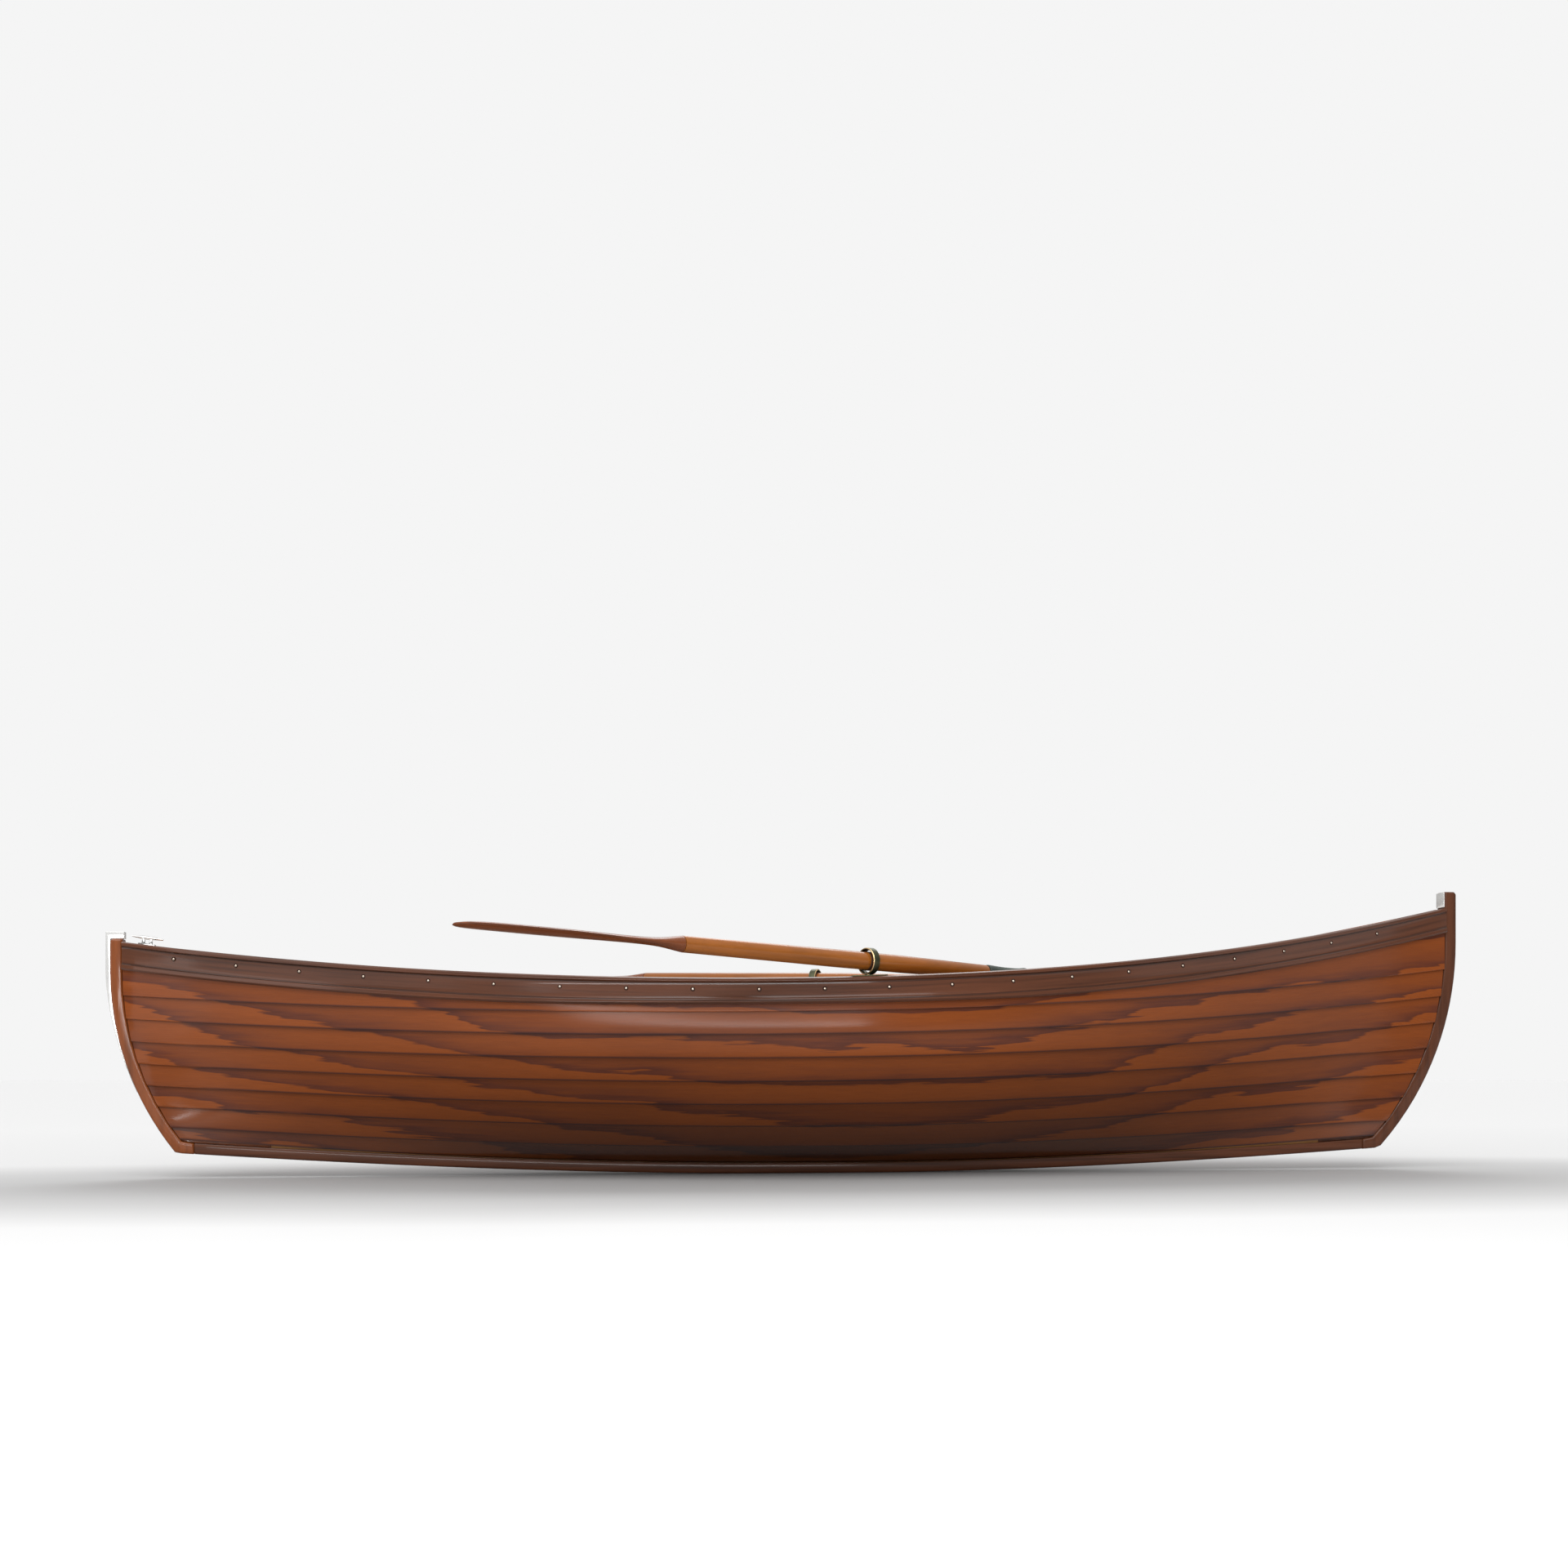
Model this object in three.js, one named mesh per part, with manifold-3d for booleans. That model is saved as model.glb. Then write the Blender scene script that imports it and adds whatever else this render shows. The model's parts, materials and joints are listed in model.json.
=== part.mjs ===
// Double-ended lapstrake rowing canoe with a pair of oars in ring rowlocks.
// Millimetres. +X points to the bow, +Y to port, +Z up. The origin is on the ground under the boat's middle.
import * as THREE from 'three';
import { mergeVertices } from 'three/addons/utils/BufferGeometryUtils.js';
import Module from 'manifold-3d';

const wasm = await Module();
wasm.setup();

const { lerp, clamp, degToRad, smoothstep } = THREE.MathUtils;

// ---------------------------------------------------------------- driving dimensions

const GAP = 0.5; // between neighbouring pieces
const LAP_GAP = 0.6; // between two strakes at their land
const BATTEN_GAP = 2.2; // between the ribs and what lies against them
const RIB_GAP = 1.6; // between the strakes' upper edges and a rib

// Profile of the two ends: an arc from the keel up to `spring`, then upright to the head.
const STEM = { outer: 2008, radius: 920, spring: 700, moulded: 38, head: 858, butt: 1700, facing: 1 };
const POST = { outer: -1994, radius: 830, spring: 580, moulded: 33, head: 668, butt: -1768, facing: -1 };
const END_SIDED = 50; // thickness of stem and sternpost across the boat
const END_FOOT = { rise: 7, heel: 20 }; // start of the arc above the keel's end, and length of its heel
const END_HEAD = { drop: 8, back: 6, bevel: 4 }; // corner taken off the head, and the bevel along both sides
// Inner part of both ends, which carries the plank ends.
const APRON = { sided: 22, depth: 45, overlap: 6, throat: 30, headClear: 4 };
const HOOD_GAP = 1.5; // between a plank's end and the stem or sternpost

const KEEL = { depth: 30, half: 20, chamfer: 5, flat: 160, span: 1750, rise: 65, power: 1.7 };
const RABBET_RISE = 9; // garboard's lower edge above the top of the keel

// Top of the side: lowest a little aft of amidships.
const SHEER = { lowX: -277, low: 546, bowRise: 268, sternRise: 117, halfLength: 2000 };

// Inside of the planking in plan, widest at `x`. Towards each end it narrows along a hyperbola, whose
// roundness amidships and fineness at the end are given at keel and at sheer height.
const BEAM = { x: 40, half: 464, endHalf: 13, bilge: 3.2 };
const PROBE = 3; // height over which the side's slope is measured
const ENDS_TURN = { from: 1700, share: 0.08 }; // near the ends the slope is taken a little inboard
const BOW_LINES = { keelRound: 2.5, sheerRound: 1.7, keelFineness: 2.1, sheerFineness: 1.19 };
const STERN_LINES = { keelRound: 0.8, sheerRound: 0.3, keelFineness: 1.6, sheerFineness: 0.85 };

const STRAKES = 8;
// Height of the laps, as shares of the side for each strake.
const LAPS = { amidships: 0.118, end: 0.1, endSpread: 0.0015, endDrop: 0.053 };
const PLANK = { thick: 8, land: 16, shared: 1640, stations: 22 };
// Moulded section of the outwale, with a bead at each edge: [depth below the sheer, thickness].
const OUTWALE_HEIGHT = 78;
const OUTWALE_SECTION = [
  [0, 12], [4, 17.5], [11, 17.5], [15, 11.5], [60, 11.5], [64, 16], [73, 16.5], [OUTWALE_HEIGHT, 11],
];
const INWALE = { thick: 22, height: 32, reach: 1690, stations: 18 };
const RIB = { wide: 18, thick: 8, spacing: 354, middle: -41, pairs: 4, headClear: 3, hogSide: 3, hogLift: 1 };
const RISER = { thick: 14, height: 34, from: -1250, to: 1480, stations: 14 };
const HOG = { half: 30, endHalf: 12, reach: 1560, depth: 14, tongue: 11.5, root: 2.5, clear: 7, stations: 20 };
const INSIDE_RIBS = RIB_GAP + RIB.thick + BATTEN_GAP; // where pieces that lie against the ribs begin
const THWART = { wide: 210, thick: 20, top: 368 };
const THWART_AT = { stern_thwart: -950, centre_thwart: 450, bow_thwart: 1230 };
const FLOORBOARD = { thick: 10, lift: 3, reach: 960, centreHalf: 62, inner: 72, outer: 178, stations: 8 };
const STRETCHER = { x: -290, high: 62, thick: 24, half: 190, lean: 28, lift: 8 };
const BREASTHOOK = { thick: 24, drop: 1, tipClear: 3, sideClear: 1.5 };

const BAND = { wide: 24, foot: 240, thin: 3.5, thick: 14, capLength: 36, capThick: 20, bevel: 1.5 };
const CLEAT = { x: -1900, base: 44, plate: 4, wide: 20, high: 26, length: 84, lift: 1.5 };
const CLEAT_HORN = { tip: 2.2, middle: 5, boss: 8, below: 5 };
const CLEAT_LEG = { apart: 10, top: 4, foot: 5 };
const PLATE = { thick: 3, high: 46, inset: 2 };

// Ring rowlocks and oars. Distances along an oar are counted from the ring, outboard positive.
const ROWLOCK = { x: 69, y: 455.5, z: 595, ringOuter: 36.5, throat: 29.5, edge: 33, band: 22, chamfer: 1.5 };
const PIN = { radius: 5.5, length: 52, clear: 0.6, inwaleClear: 1.2, overlap: 3 };
const COLLAR = { top: 9, foot: 10 };
const SOCKET = { length: 96, inner: 430, outer: 482, thick: 3, hole: 6.2, lift: 1.7 };
const OAR_YAW = 30; // angle between the oar and the boat's middle line
const OAR_LIFT = 1.6; // how far the blade points up
const LOOM = { inner: -440, outer: 610, parallel: 120, step: 4, round: 3, grip: 20, ring: 24, blade: 21 };
const CORE = { end: -596, radius: 13 }; // what the grip is pushed on
const GRIP = { inner: -600, waist: 18.5, flare: 23.5, endRound: 3, endLength: 22, taper: 60 };
const LEATHER = { length: 22, outer: 25.6, clear: 0.4 };
// Sections down the blade: distance along the oar, half the width, half the thickness.
const BLADE = [
  [612, 21, 21],
  [640, 21, 17],
  [670, 21, 12],
  [710, 24, 9.5],
  [770, 34, 8.5],
  [850, 54, 8],
  [930, 70, 7.5],
  [1010, 75, 7],
  [1150, 75, 6.5],
  [1195, 66, 6],
  [1218, 45, 4.5],
  [1230, 14, 2],
];

const SIDES = { starboard: -1, port: 1 };

const FINISH = {
  plank: { color: 0x8a4a24, roughness: 0.25, metalness: 0 },
  trim: { color: 0x5e463c, roughness: 0.3, metalness: 0 },
  post: { color: 0x8e4a22, roughness: 0.25, metalness: 0 },
  interior: { color: 0x9a6236, roughness: 0.4, metalness: 0 },
  oar: { color: 0x96572c, roughness: 0.3, metalness: 0 },
  blade: { color: 0x7a4426, roughness: 0.3, metalness: 0 },
  grip: { color: 0x3a423a, roughness: 0.8, metalness: 0 },
  leather: { color: 0x4a2e1c, roughness: 0.7, metalness: 0 },
  bronze: { color: 0x4a4a34, roughness: 0.4, metalness: 1 },
  nickel: { color: 0xd8d8d4, roughness: 0.15, metalness: 1 },
};

// ---------------------------------------------------------------- solids

const boat = new THREE.Group();

function place(name, geometry, finish, parent = boat) {
  const mesh = new THREE.Mesh(geometry, new THREE.MeshStandardMaterial(FINISH[finish]));
  mesh.name = name;
  parent.add(mesh);
  return mesh;
}

function signedVolume(points, faces) {
  const [a, b, c] = [new THREE.Vector3(), new THREE.Vector3(), new THREE.Vector3()];
  let six = 0;
  for (let i = 0; i < faces.length; i += 3) {
    a.fromArray(points[faces[i]]);
    b.fromArray(points[faces[i + 1]]);
    c.fromArray(points[faces[i + 2]]);
    six += a.dot(b.cross(c));
  }
  return six / 6;
}

// Triangles that close a ring, turned the way the ring runs.
function capFaces(ring) {
  const normal = new THREE.Vector3();
  ring.forEach((p, i) => {
    const q = ring[(i + 1) % ring.length];
    normal.x += (p[1] - q[1]) * (p[2] + q[2]);
    normal.y += (p[2] - q[2]) * (p[0] + q[0]);
    normal.z += (p[0] - q[0]) * (p[1] + q[1]);
  });
  const sizes = normal.toArray().map(Math.abs);
  const dropped = sizes.indexOf(Math.max(...sizes));
  const flat = ring.map((p) => new THREE.Vector2(...p.filter((_, axis) => axis !== dropped)));
  const turn = Math.sign(THREE.ShapeUtils.area(flat));
  return THREE.ShapeUtils.triangulateShape(flat, []).map(([a, b, c]) => {
    const area = THREE.ShapeUtils.area([flat[a], flat[b], flat[c]]);
    return Math.sign(area) === turn ? [a, b, c] : [a, c, b];
  });
}

const span = (p, q) => Math.hypot(p[0] - q[0], p[1] - q[1], p[2] - q[2]);

// A closed solid through rings of points, each ring with the same number of [x, y, z] points.
function loft(rings) {
  const count = rings[0].length;
  const last = (rings.length - 1) * count;
  const points = rings.flat();
  const faces = [];
  for (let i = 0; i < last; i += count) {
    for (let j = 0; j < count; j++) {
      const [a, b] = [i + j, i + ((j + 1) % count)];
      const [c, d] = [a + count, b + count];
      const alongB = span(points[b], points[c]) < span(points[a], points[d]);
      faces.push(...(alongB ? [a, b, c, b, d, c] : [a, b, d, a, d, c]));
    }
  }
  for (const [a, b, c] of capFaces(rings[0])) faces.push(a, c, b);
  for (const [a, b, c] of capFaces(rings.at(-1))) faces.push(last + a, last + b, last + c);
  if (signedVolume(points, faces) < 0) faces.reverse();
  const geometry = new THREE.BufferGeometry();
  geometry.setAttribute('position', new THREE.Float32BufferAttribute(points.flat(), 3));
  geometry.setIndex(faces);
  return geometry;
}

function toSolid(geometry) {
  const bare = geometry.clone();
  bare.deleteAttribute('normal');
  bare.deleteAttribute('uv');
  const merged = mergeVertices(bare, 1e-3);
  const vertProperties = new Float32Array(merged.attributes.position.array);
  const triVerts = new Uint32Array(merged.index.array);
  return new wasm.Manifold(new wasm.Mesh({ numProp: 3, vertProperties, triVerts }));
}

function fromSolid(solid) {
  const mesh = solid.getMesh();
  const geometry = new THREE.BufferGeometry();
  geometry.setAttribute('position', new THREE.Float32BufferAttribute(mesh.vertProperties, 3));
  geometry.setIndex(Array.from(mesh.triVerts));
  return geometry;
}

const join = (...pieces) => fromSolid(pieces.map(toSolid).reduce((whole, piece) => whole.add(piece)));
const cut = (piece, tool) => fromSolid(toSolid(piece).subtract(toSolid(tool)));

// A plate whose outline is drawn in the boat's profile (x, z), centred on the middle line.
function profilePlate(outline, sided, bevel = 0) {
  const shape = new THREE.Shape(outline.map(([x, z]) => new THREE.Vector2(x, z)));
  const geometry = new THREE.ExtrudeGeometry(shape, {
    depth: sided - 2 * bevel,
    bevelEnabled: bevel > 0,
    bevelThickness: bevel,
    bevelSize: bevel,
    bevelOffset: -bevel,
    bevelSegments: 1,
  });
  return geometry.rotateX(Math.PI / 2).translate(0, sided / 2 - bevel, 0);
}

// A plate whose outline is drawn in plan (x, y), from `bottom` up.
function planPlate(outline, bottom, thick) {
  const shape = new THREE.Shape(outline.map(([x, y]) => new THREE.Vector2(x, y)));
  return new THREE.ExtrudeGeometry(shape, { depth: thick, bevelEnabled: false }).translate(0, 0, bottom);
}

// A round piece about the X axis, from a closed profile of [distance along X, radius].
function turned(profile, segments) {
  const points = [...profile, profile[0]].map(([along, radius]) => new THREE.Vector2(radius, along));
  return new THREE.LatheGeometry(points, segments).rotateZ(-Math.PI / 2);
}

const steps = (from, to, count) => Array.from({ length: count }, (_, i) => lerp(from, to, i / (count - 1)));

// ---------------------------------------------------------------- hull form

function rocker(x) {
  const reach = Math.max(0, Math.abs(x) - KEEL.flat) / (KEEL.span - KEEL.flat);
  return KEEL.rise * reach ** KEEL.power;
}

const keelTop = (x) => rocker(x) + KEEL.depth;
const rabbet = (x) => keelTop(x) + RABBET_RISE;

function sheer(x) {
  const aft = x < SHEER.lowX;
  const run = SHEER.halfLength - (aft ? -SHEER.lowX : SHEER.lowX);
  return SHEER.low + (aft ? SHEER.sternRise : SHEER.bowRise) * ((x - SHEER.lowX) / run) ** 2;
}

// Where a line `inset` inside the outer edge of the stem or sternpost stands at a height.
function endLine(end, z, inset) {
  const centre = end.outer - end.facing * end.radius;
  const radius = end.radius - inset;
  const drop = Math.max(0, end.spring - z);
  return centre + end.facing * Math.sqrt(radius ** 2 - drop ** 2);
}

const hoodEnd = (end, z) => endLine(end, z, end.moulded) - end.facing * HOOD_GAP;

// Half the width inside the planking.
function halfBreadth(x, z) {
  const height = clamp((z - rabbet(x)) / (sheer(x) - rabbet(x)), 0, 1);
  const amidships = (BEAM.half - BEAM.endHalf) * (1 - (1 - height) ** BEAM.bilge);
  const [end, lines] = x > BEAM.x ? [STEM, BOW_LINES] : [POST, STERN_LINES];
  const reach = clamp((x - BEAM.x) / (hoodEnd(end, z) - BEAM.x), 0, 1);
  const round = lerp(lines.keelRound, lines.sheerRound, height);
  const fineness = lerp(lines.keelFineness, lines.sheerFineness, height);
  const narrowing = (Math.hypot(reach, round) - round) / (Math.hypot(1, round) - round);
  return BEAM.endHalf + amidships * (1 - narrowing) ** fineness;
}

const flare = (x, z) => (halfBreadth(x, z + PROBE) - halfBreadth(x, z)) / PROBE;

// The planking's inner surface at x and z, moved outwards by `offset` square to the section.
function skinPoint(x, z, offset, side) {
  const slope = flare(x - Math.sign(x) * Math.max(0, Math.abs(x) - ENDS_TURN.from) * ENDS_TURN.share, z);
  const length = Math.hypot(1, slope);
  return [x, side * (halfBreadth(x, z) + offset / length), z - (offset * slope) / length];
}

// Lower edge of the strake above lap k, as a height; laps 1 to 7 rise a little amidships.
function lapHeight(k, x) {
  if (k === 0) return rabbet(x);
  const atEnds = LAPS.end * k + LAPS.endSpread * k ** 2 - LAPS.endDrop;
  const share = lerp(LAPS.amidships * k, atEnds, (x / SHEER.halfLength) ** 2);
  return lerp(rabbet(x), sheer(x), share);
}

// Upper edge of strake k: a land's width above the next strake's lower edge.
function upperEdge(k, x) {
  if (k === STRAKES) return sheer(x);
  const z = lapHeight(k, x);
  return z + PLANK.land / Math.hypot(1, flare(x, z));
}

// Lengthwise stations shared by all strakes, with two more at each end that fit the strake's own ends.
function stations(height) {
  const common = steps(-PLANK.shared, PLANK.shared, PLANK.stations);
  const [aft, fore] = [lineEnd(POST, height), lineEnd(STEM, height)];
  return [aft, (aft - PLANK.shared) / 2, ...common, (fore + PLANK.shared) / 2, fore];
}

// The x where a lengthwise line of the hull meets the stem or the sternpost.
function lineEnd(end, height) {
  let x = end.butt;
  for (let i = 0; i < 40; i++) x = hoodEnd(end, height(x));
  return x;
}

// ---------------------------------------------------------------- planking

const middleEdge = (k, x) => (k === 1 ? (rabbet(x) + upperEdge(1, x)) / 2 : upperEdge(k - 1, x));
const lapEdge = (k, x) => (k === STRAKES ? sheer(x) - OUTWALE_HEIGHT : lapHeight(k, x));

// Section points of strake k at x on the port side, each as [inner, outer].
const landPoints = (k, x) => {
  const inner = k === 1 ? 0 : PLANK.thick + LAP_GAP;
  return [inner, inner + PLANK.thick].map((out) => skinPoint(x, middleEdge(k, x), out, 1));
};
const upperPoints = (k, x) => [0, PLANK.thick].map((out) => skinPoint(x, upperEdge(k, x), out, 1));

// Where the next strake's lower edge, or the outwale's, comes on strake k.
function lapPoints(k, x) {
  const below = k === STRAKES ? OUTWALE_HEIGHT : PLANK.land;
  const upper = upperPoints(k, x);
  return landPoints(k, x).map((land, face) => {
    const [dy, dz] = [land[1] - upper[face][1], land[2] - upper[face][2]];
    const share = Math.min(0.95, below / Math.hypot(dy, dz));
    return [x, upper[face][1] + dy * share, upper[face][2] + dz * share];
  });
}

// A point moved outwards, square to the line from `low` to `high` in the section.
function outwards([x, y, z], low, high, out) {
  const length = Math.hypot(high[1] - low[1], high[2] - low[2]);
  return [x, y + ((high[2] - low[2]) / length) * out, z - ((high[1] - low[1]) / length) * out];
}

// Lower edge: the garboard's lies in the rabbet, every other laps over the outside of the strake below.
function lowerPoints(k, x) {
  if (k === 1) return [0, PLANK.thick].map((out) => skinPoint(x, rabbet(x), out, 1));
  const [, lap] = lapPoints(k - 1, x);
  const [, upper] = upperPoints(k - 1, x);
  return [LAP_GAP, LAP_GAP + PLANK.thick].map((out) => outwards(lap, lap, upper, out));
}

const STRAKE_LINES = [
  { height: (k, x) => lapHeight(k - 1, x), points: lowerPoints },
  { height: middleEdge, points: landPoints },
  { height: lapEdge, points: lapPoints },
  { height: upperEdge, points: upperPoints },
];

const mirrored = (ring, side) => ring.map(([x, y, z]) => [x, side * y, z]);

function strake(k, side) {
  const lines = STRAKE_LINES.map(({ height, points }) => {
    return stations((x) => height(k, x)).map((x) => points(k, x));
  });
  const rings = lines[0].map((_, station) => {
    const edges = lines.map((line) => line[station]);
    return [...edges.map(([inner]) => inner), ...edges.map(([, outer]) => outer).reverse()];
  });
  return loft(rings.map((ring) => mirrored(ring, side)));
}

function strakeName(k) {
  if (k === 1) return 'garboard';
  return k === STRAKES ? 'sheer_strake' : `strake_${k}`;
}

function addPlanking() {
  for (const [name, side] of Object.entries(SIDES)) {
    for (let k = 1; k <= STRAKES; k++) place(`${strakeName(k)}_${name}`, strake(k, side), 'plank');
  }
}

// ---------------------------------------------------------------- backbone

// Points of the arc of a stem or sternpost, from low to high.
function arcPoints(end, inset, low, count) {
  return steps(low, end.spring, count).map((z) => [endLine(end, z, inset), z]);
}

function endPiece(end) {
  const heelX = endLine(end, KEEL.rise + END_FOOT.rise, 0) - end.facing * END_FOOT.heel;
  const outline = [
    [end.butt + end.facing * GAP, rocker(end.butt)],
    [heelX, rocker(heelX)],
    ...arcPoints(end, 0, KEEL.rise + END_FOOT.rise, 18),
    [end.outer, end.head - END_HEAD.drop],
    [end.outer - end.facing * END_HEAD.back, end.head],
    [end.outer - end.facing * end.moulded, end.head],
    ...arcPoints(end, end.moulded, keelTop(end.butt) + APRON.overlap, 18).reverse(),
    [end.butt + end.facing * GAP, keelTop(end.butt)],
  ];
  return profilePlate(outline, END_SIDED, END_HEAD.bevel);
}

// The narrow inner part that the plank ends lie on, with a heel over the keel that meets the hog.
function apron(end) {
  const heelX = end.facing * (HOG.reach + GAP);
  const inner = end.moulded + APRON.depth;
  const top = sheer(endLine(end, end.spring, inner)) - BREASTHOOK.thick - APRON.headClear;
  const outline = [
    [heelX, keelTop(heelX) + GAP],
    [end.butt, keelTop(end.butt) + GAP],
    ...arcPoints(end, end.moulded - APRON.overlap, keelTop(end.butt) + APRON.overlap, 14),
    [endLine(end, end.spring, end.moulded - APRON.overlap), top],
    [endLine(end, end.spring, inner), top],
    ...arcPoints(end, inner, keelTop(end.butt) + APRON.throat, 14).reverse(),
    [heelX, rabbet(heelX) + HOG.depth],
  ];
  return profilePlate(outline, APRON.sided);
}

function keel() {
  const rings = steps(POST.butt, STEM.butt, 24).map((x) => {
    const [low, high] = [rocker(x), keelTop(x)];
    return [
      [x, -KEEL.half, high],
      [x, -KEEL.half, low + KEEL.chamfer],
      [x, KEEL.chamfer - KEEL.half, low],
      [x, KEEL.half - KEEL.chamfer, low],
      [x, KEEL.half, low + KEEL.chamfer],
      [x, KEEL.half, high],
    ];
  });
  return loft(rings);
}

const hogHalf = (x) => lerp(HOG.half, HOG.endHalf, (x / HOG.reach) ** 2);

// Height of the garboard's inner face at half-width y.
function garboardHeight(x, y) {
  const points = [lowerPoints(1, x)[0], landPoints(1, x)[0], upperPoints(1, x)[0]];
  const [a, b] = y < points[1][1] ? points.slice(0, 2) : points.slice(1);
  return lerp(a[2], b[2], (y - a[1]) / (b[1] - a[1]));
}

const hogShoulder = (x) => garboardHeight(x, hogHalf(x)) + HOG.clear;
const hogTop = (x) => hogShoulder(x) + HOG.depth;

function hog() {
  const rings = steps(-HOG.reach, HOG.reach, HOG.stations).map((x) => {
    const half = hogHalf(x);
    const right = [
      [x, HOG.tongue, keelTop(x) + GAP],
      [x, HOG.tongue, rabbet(x) + HOG.root],
      [x, half, hogShoulder(x)],
      [x, half, hogTop(x)],
    ];
    return [...right, ...right.map(([px, py, pz]) => [px, -py, pz]).reverse()];
  });
  return loft(rings);
}

// ---------------------------------------------------------------- ribs and lengthwise pieces

// One side of a rib's path at x, sheer to hog: the outer and inner corners of its section.
function ribSide(x, side) {
  const corners = [];
  for (let k = STRAKES; k >= 1; k--) {
    const z = k === STRAKES ? sheer(x) - RIB.headClear : upperEdge(k, x);
    corners.push([skinPoint(x, z, -RIB_GAP, side), skinPoint(x, z, -RIB_GAP - RIB.thick, side)]);
  }
  const [y, low] = [side * (hogHalf(x) + RIB.hogSide), hogTop(x) + RIB.hogLift];
  corners.push([[x, y, low], [x, y, low + RIB.thick]]);
  return corners;
}

function rib(x) {
  const faces = [x - RIB.wide / 2, x + RIB.wide / 2];
  const [aft, fore] = faces.map((at) => [...ribSide(at, -1), ...ribSide(at, 1).reverse()]);
  return loft(aft.map(([outer, inner], i) => [outer, fore[i][0], fore[i][1], inner]));
}

// Height of the ribs' inner face at x and half-width y.
function ribInnerHeight(x, y) {
  const path = ribSide(x, 1).map(([, inner]) => inner).reverse();
  const above = path.findIndex((p) => p[1] > y);
  if (above <= 0) return path[0][2];
  const [a, b] = [path[above - 1], path[above]];
  return lerp(a[2], b[2], (y - a[1]) / (b[1] - a[1]));
}

function outwale(side) {
  const tops = stations(sheer).map((x) => upperPoints(STRAKES, x)[1]);
  const feet = stations((x) => lapEdge(STRAKES, x)).map((x) => lapPoints(STRAKES, x)[1]);
  const rings = tops.map((top, i) => {
    const point = ([depth, thick]) => {
      const base = top.map((value, axis) => lerp(value, feet[i][axis], depth / OUTWALE_HEIGHT));
      return outwards(base, feet[i], top, thick + 2 * GAP);
    };
    return [...OUTWALE_SECTION, [OUTWALE_HEIGHT, 0], [0, 0]].map(point);
  });
  return loft(rings.map((ring) => mirrored(ring, side)));
}

// Half the width at a height, `clear` inside the planking.
function insideHalf(x, z, clear) {
  return halfBreadth(x, z) - clear * Math.hypot(1, flare(x, z));
}

// A square batten inside the ribs, from `top` down.
function batten(size, from, to, top, side) {
  const rings = steps(from, to, size.stations).map((x) => {
    const [high, low] = [top(x), top(x) - size.height];
    const [upper, lower] = [insideHalf(x, high, INSIDE_RIBS), insideHalf(x, low, INSIDE_RIBS)];
    return [[x, upper, high], [x, lower, low], [x, lower - size.thick, low], [x, upper - size.thick, high]];
  });
  return loft(rings.map((ring) => mirrored(ring, side)));
}

function inwale(side) {
  const radius = PIN.radius + PIN.inwaleClear;
  const hole = new THREE.CylinderGeometry(radius, radius, 120, 16).rotateX(Math.PI / 2);
  hole.translate(ROWLOCK.x, side * ROWLOCK.y, sheer(ROWLOCK.x));
  const whole = batten(INWALE, -INWALE.reach, INWALE.reach, (x) => sheer(x) - 1, side);
  return cut(whole, hole);
}

function addLengthwise() {
  const riserTop = () => THWART.top - THWART.thick - GAP;
  for (const [name, side] of Object.entries(SIDES)) {
    place(`outwale_${name}`, outwale(side), 'trim');
    place(`inwale_${name}`, inwale(side), 'interior');
    place(`seat_riser_${name}`, batten(RISER, RISER.from, RISER.to, riserTop, side), 'interior');
  }
  for (let i = -RIB.pairs; i <= RIB.pairs; i++) {
    place(`rib_${i + RIB.pairs + 1}`, rib(RIB.middle + i * RIB.spacing), 'interior');
  }
}

// ---------------------------------------------------------------- seats, floor and ends

function thwart(x) {
  const bottom = THWART.top - THWART.thick;
  const ends = [x - THWART.wide / 2, x, x + THWART.wide / 2];
  const right = ends.map((at) => [at, insideHalf(at, bottom, INSIDE_RIBS + 1)]);
  return planPlate([...right, ...right.map(([px, py]) => [px, -py]).reverse()], bottom, THWART.thick);
}

// A floorboard between two half-widths, lying on the ribs.
function floorboard(from, to) {
  const rings = steps(-FLOORBOARD.reach, FLOORBOARD.reach, FLOORBOARD.stations).map((x) => {
    const height = (y) => ribInnerHeight(x, Math.abs(y)) + FLOORBOARD.lift;
    const level = from === -to;
    const [a, b] = level ? [height(to), height(to)] : [height(from), height(to)];
    return [[x, from, a], [x, to, b], [x, to, b + FLOORBOARD.thick], [x, from, a + FLOORBOARD.thick]];
  });
  return loft(rings);
}

function footStretcher() {
  const floor = ribInnerHeight(STRETCHER.x, STRETCHER.half) + FLOORBOARD.thick + STRETCHER.lift;
  const board = new THREE.BoxGeometry(STRETCHER.thick, 2 * STRETCHER.half, STRETCHER.high);
  return board.rotateY(degToRad(STRETCHER.lean)).translate(STRETCHER.x, 0, floor + STRETCHER.high / 2);
}

// Knee that ties the two gunwales to the stem or sternpost, flush with the sheer.
function breasthook(end) {
  const tipX = endLine(end, end.spring, end.moulded) - end.facing * BREASTHOOK.tipClear;
  const rings = steps(tipX, end.facing * (INWALE.reach + BREASTHOOK.tipClear), 6).map((x) => {
    const high = sheer(x) - BREASTHOOK.drop;
    const low = high - BREASTHOOK.thick;
    const half = halfBreadth(x, low) - BREASTHOOK.sideClear;
    return [[x, -half, high], [x, half, high], [x, half, low], [x, -half, low]];
  });
  return loft(rings);
}

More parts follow.
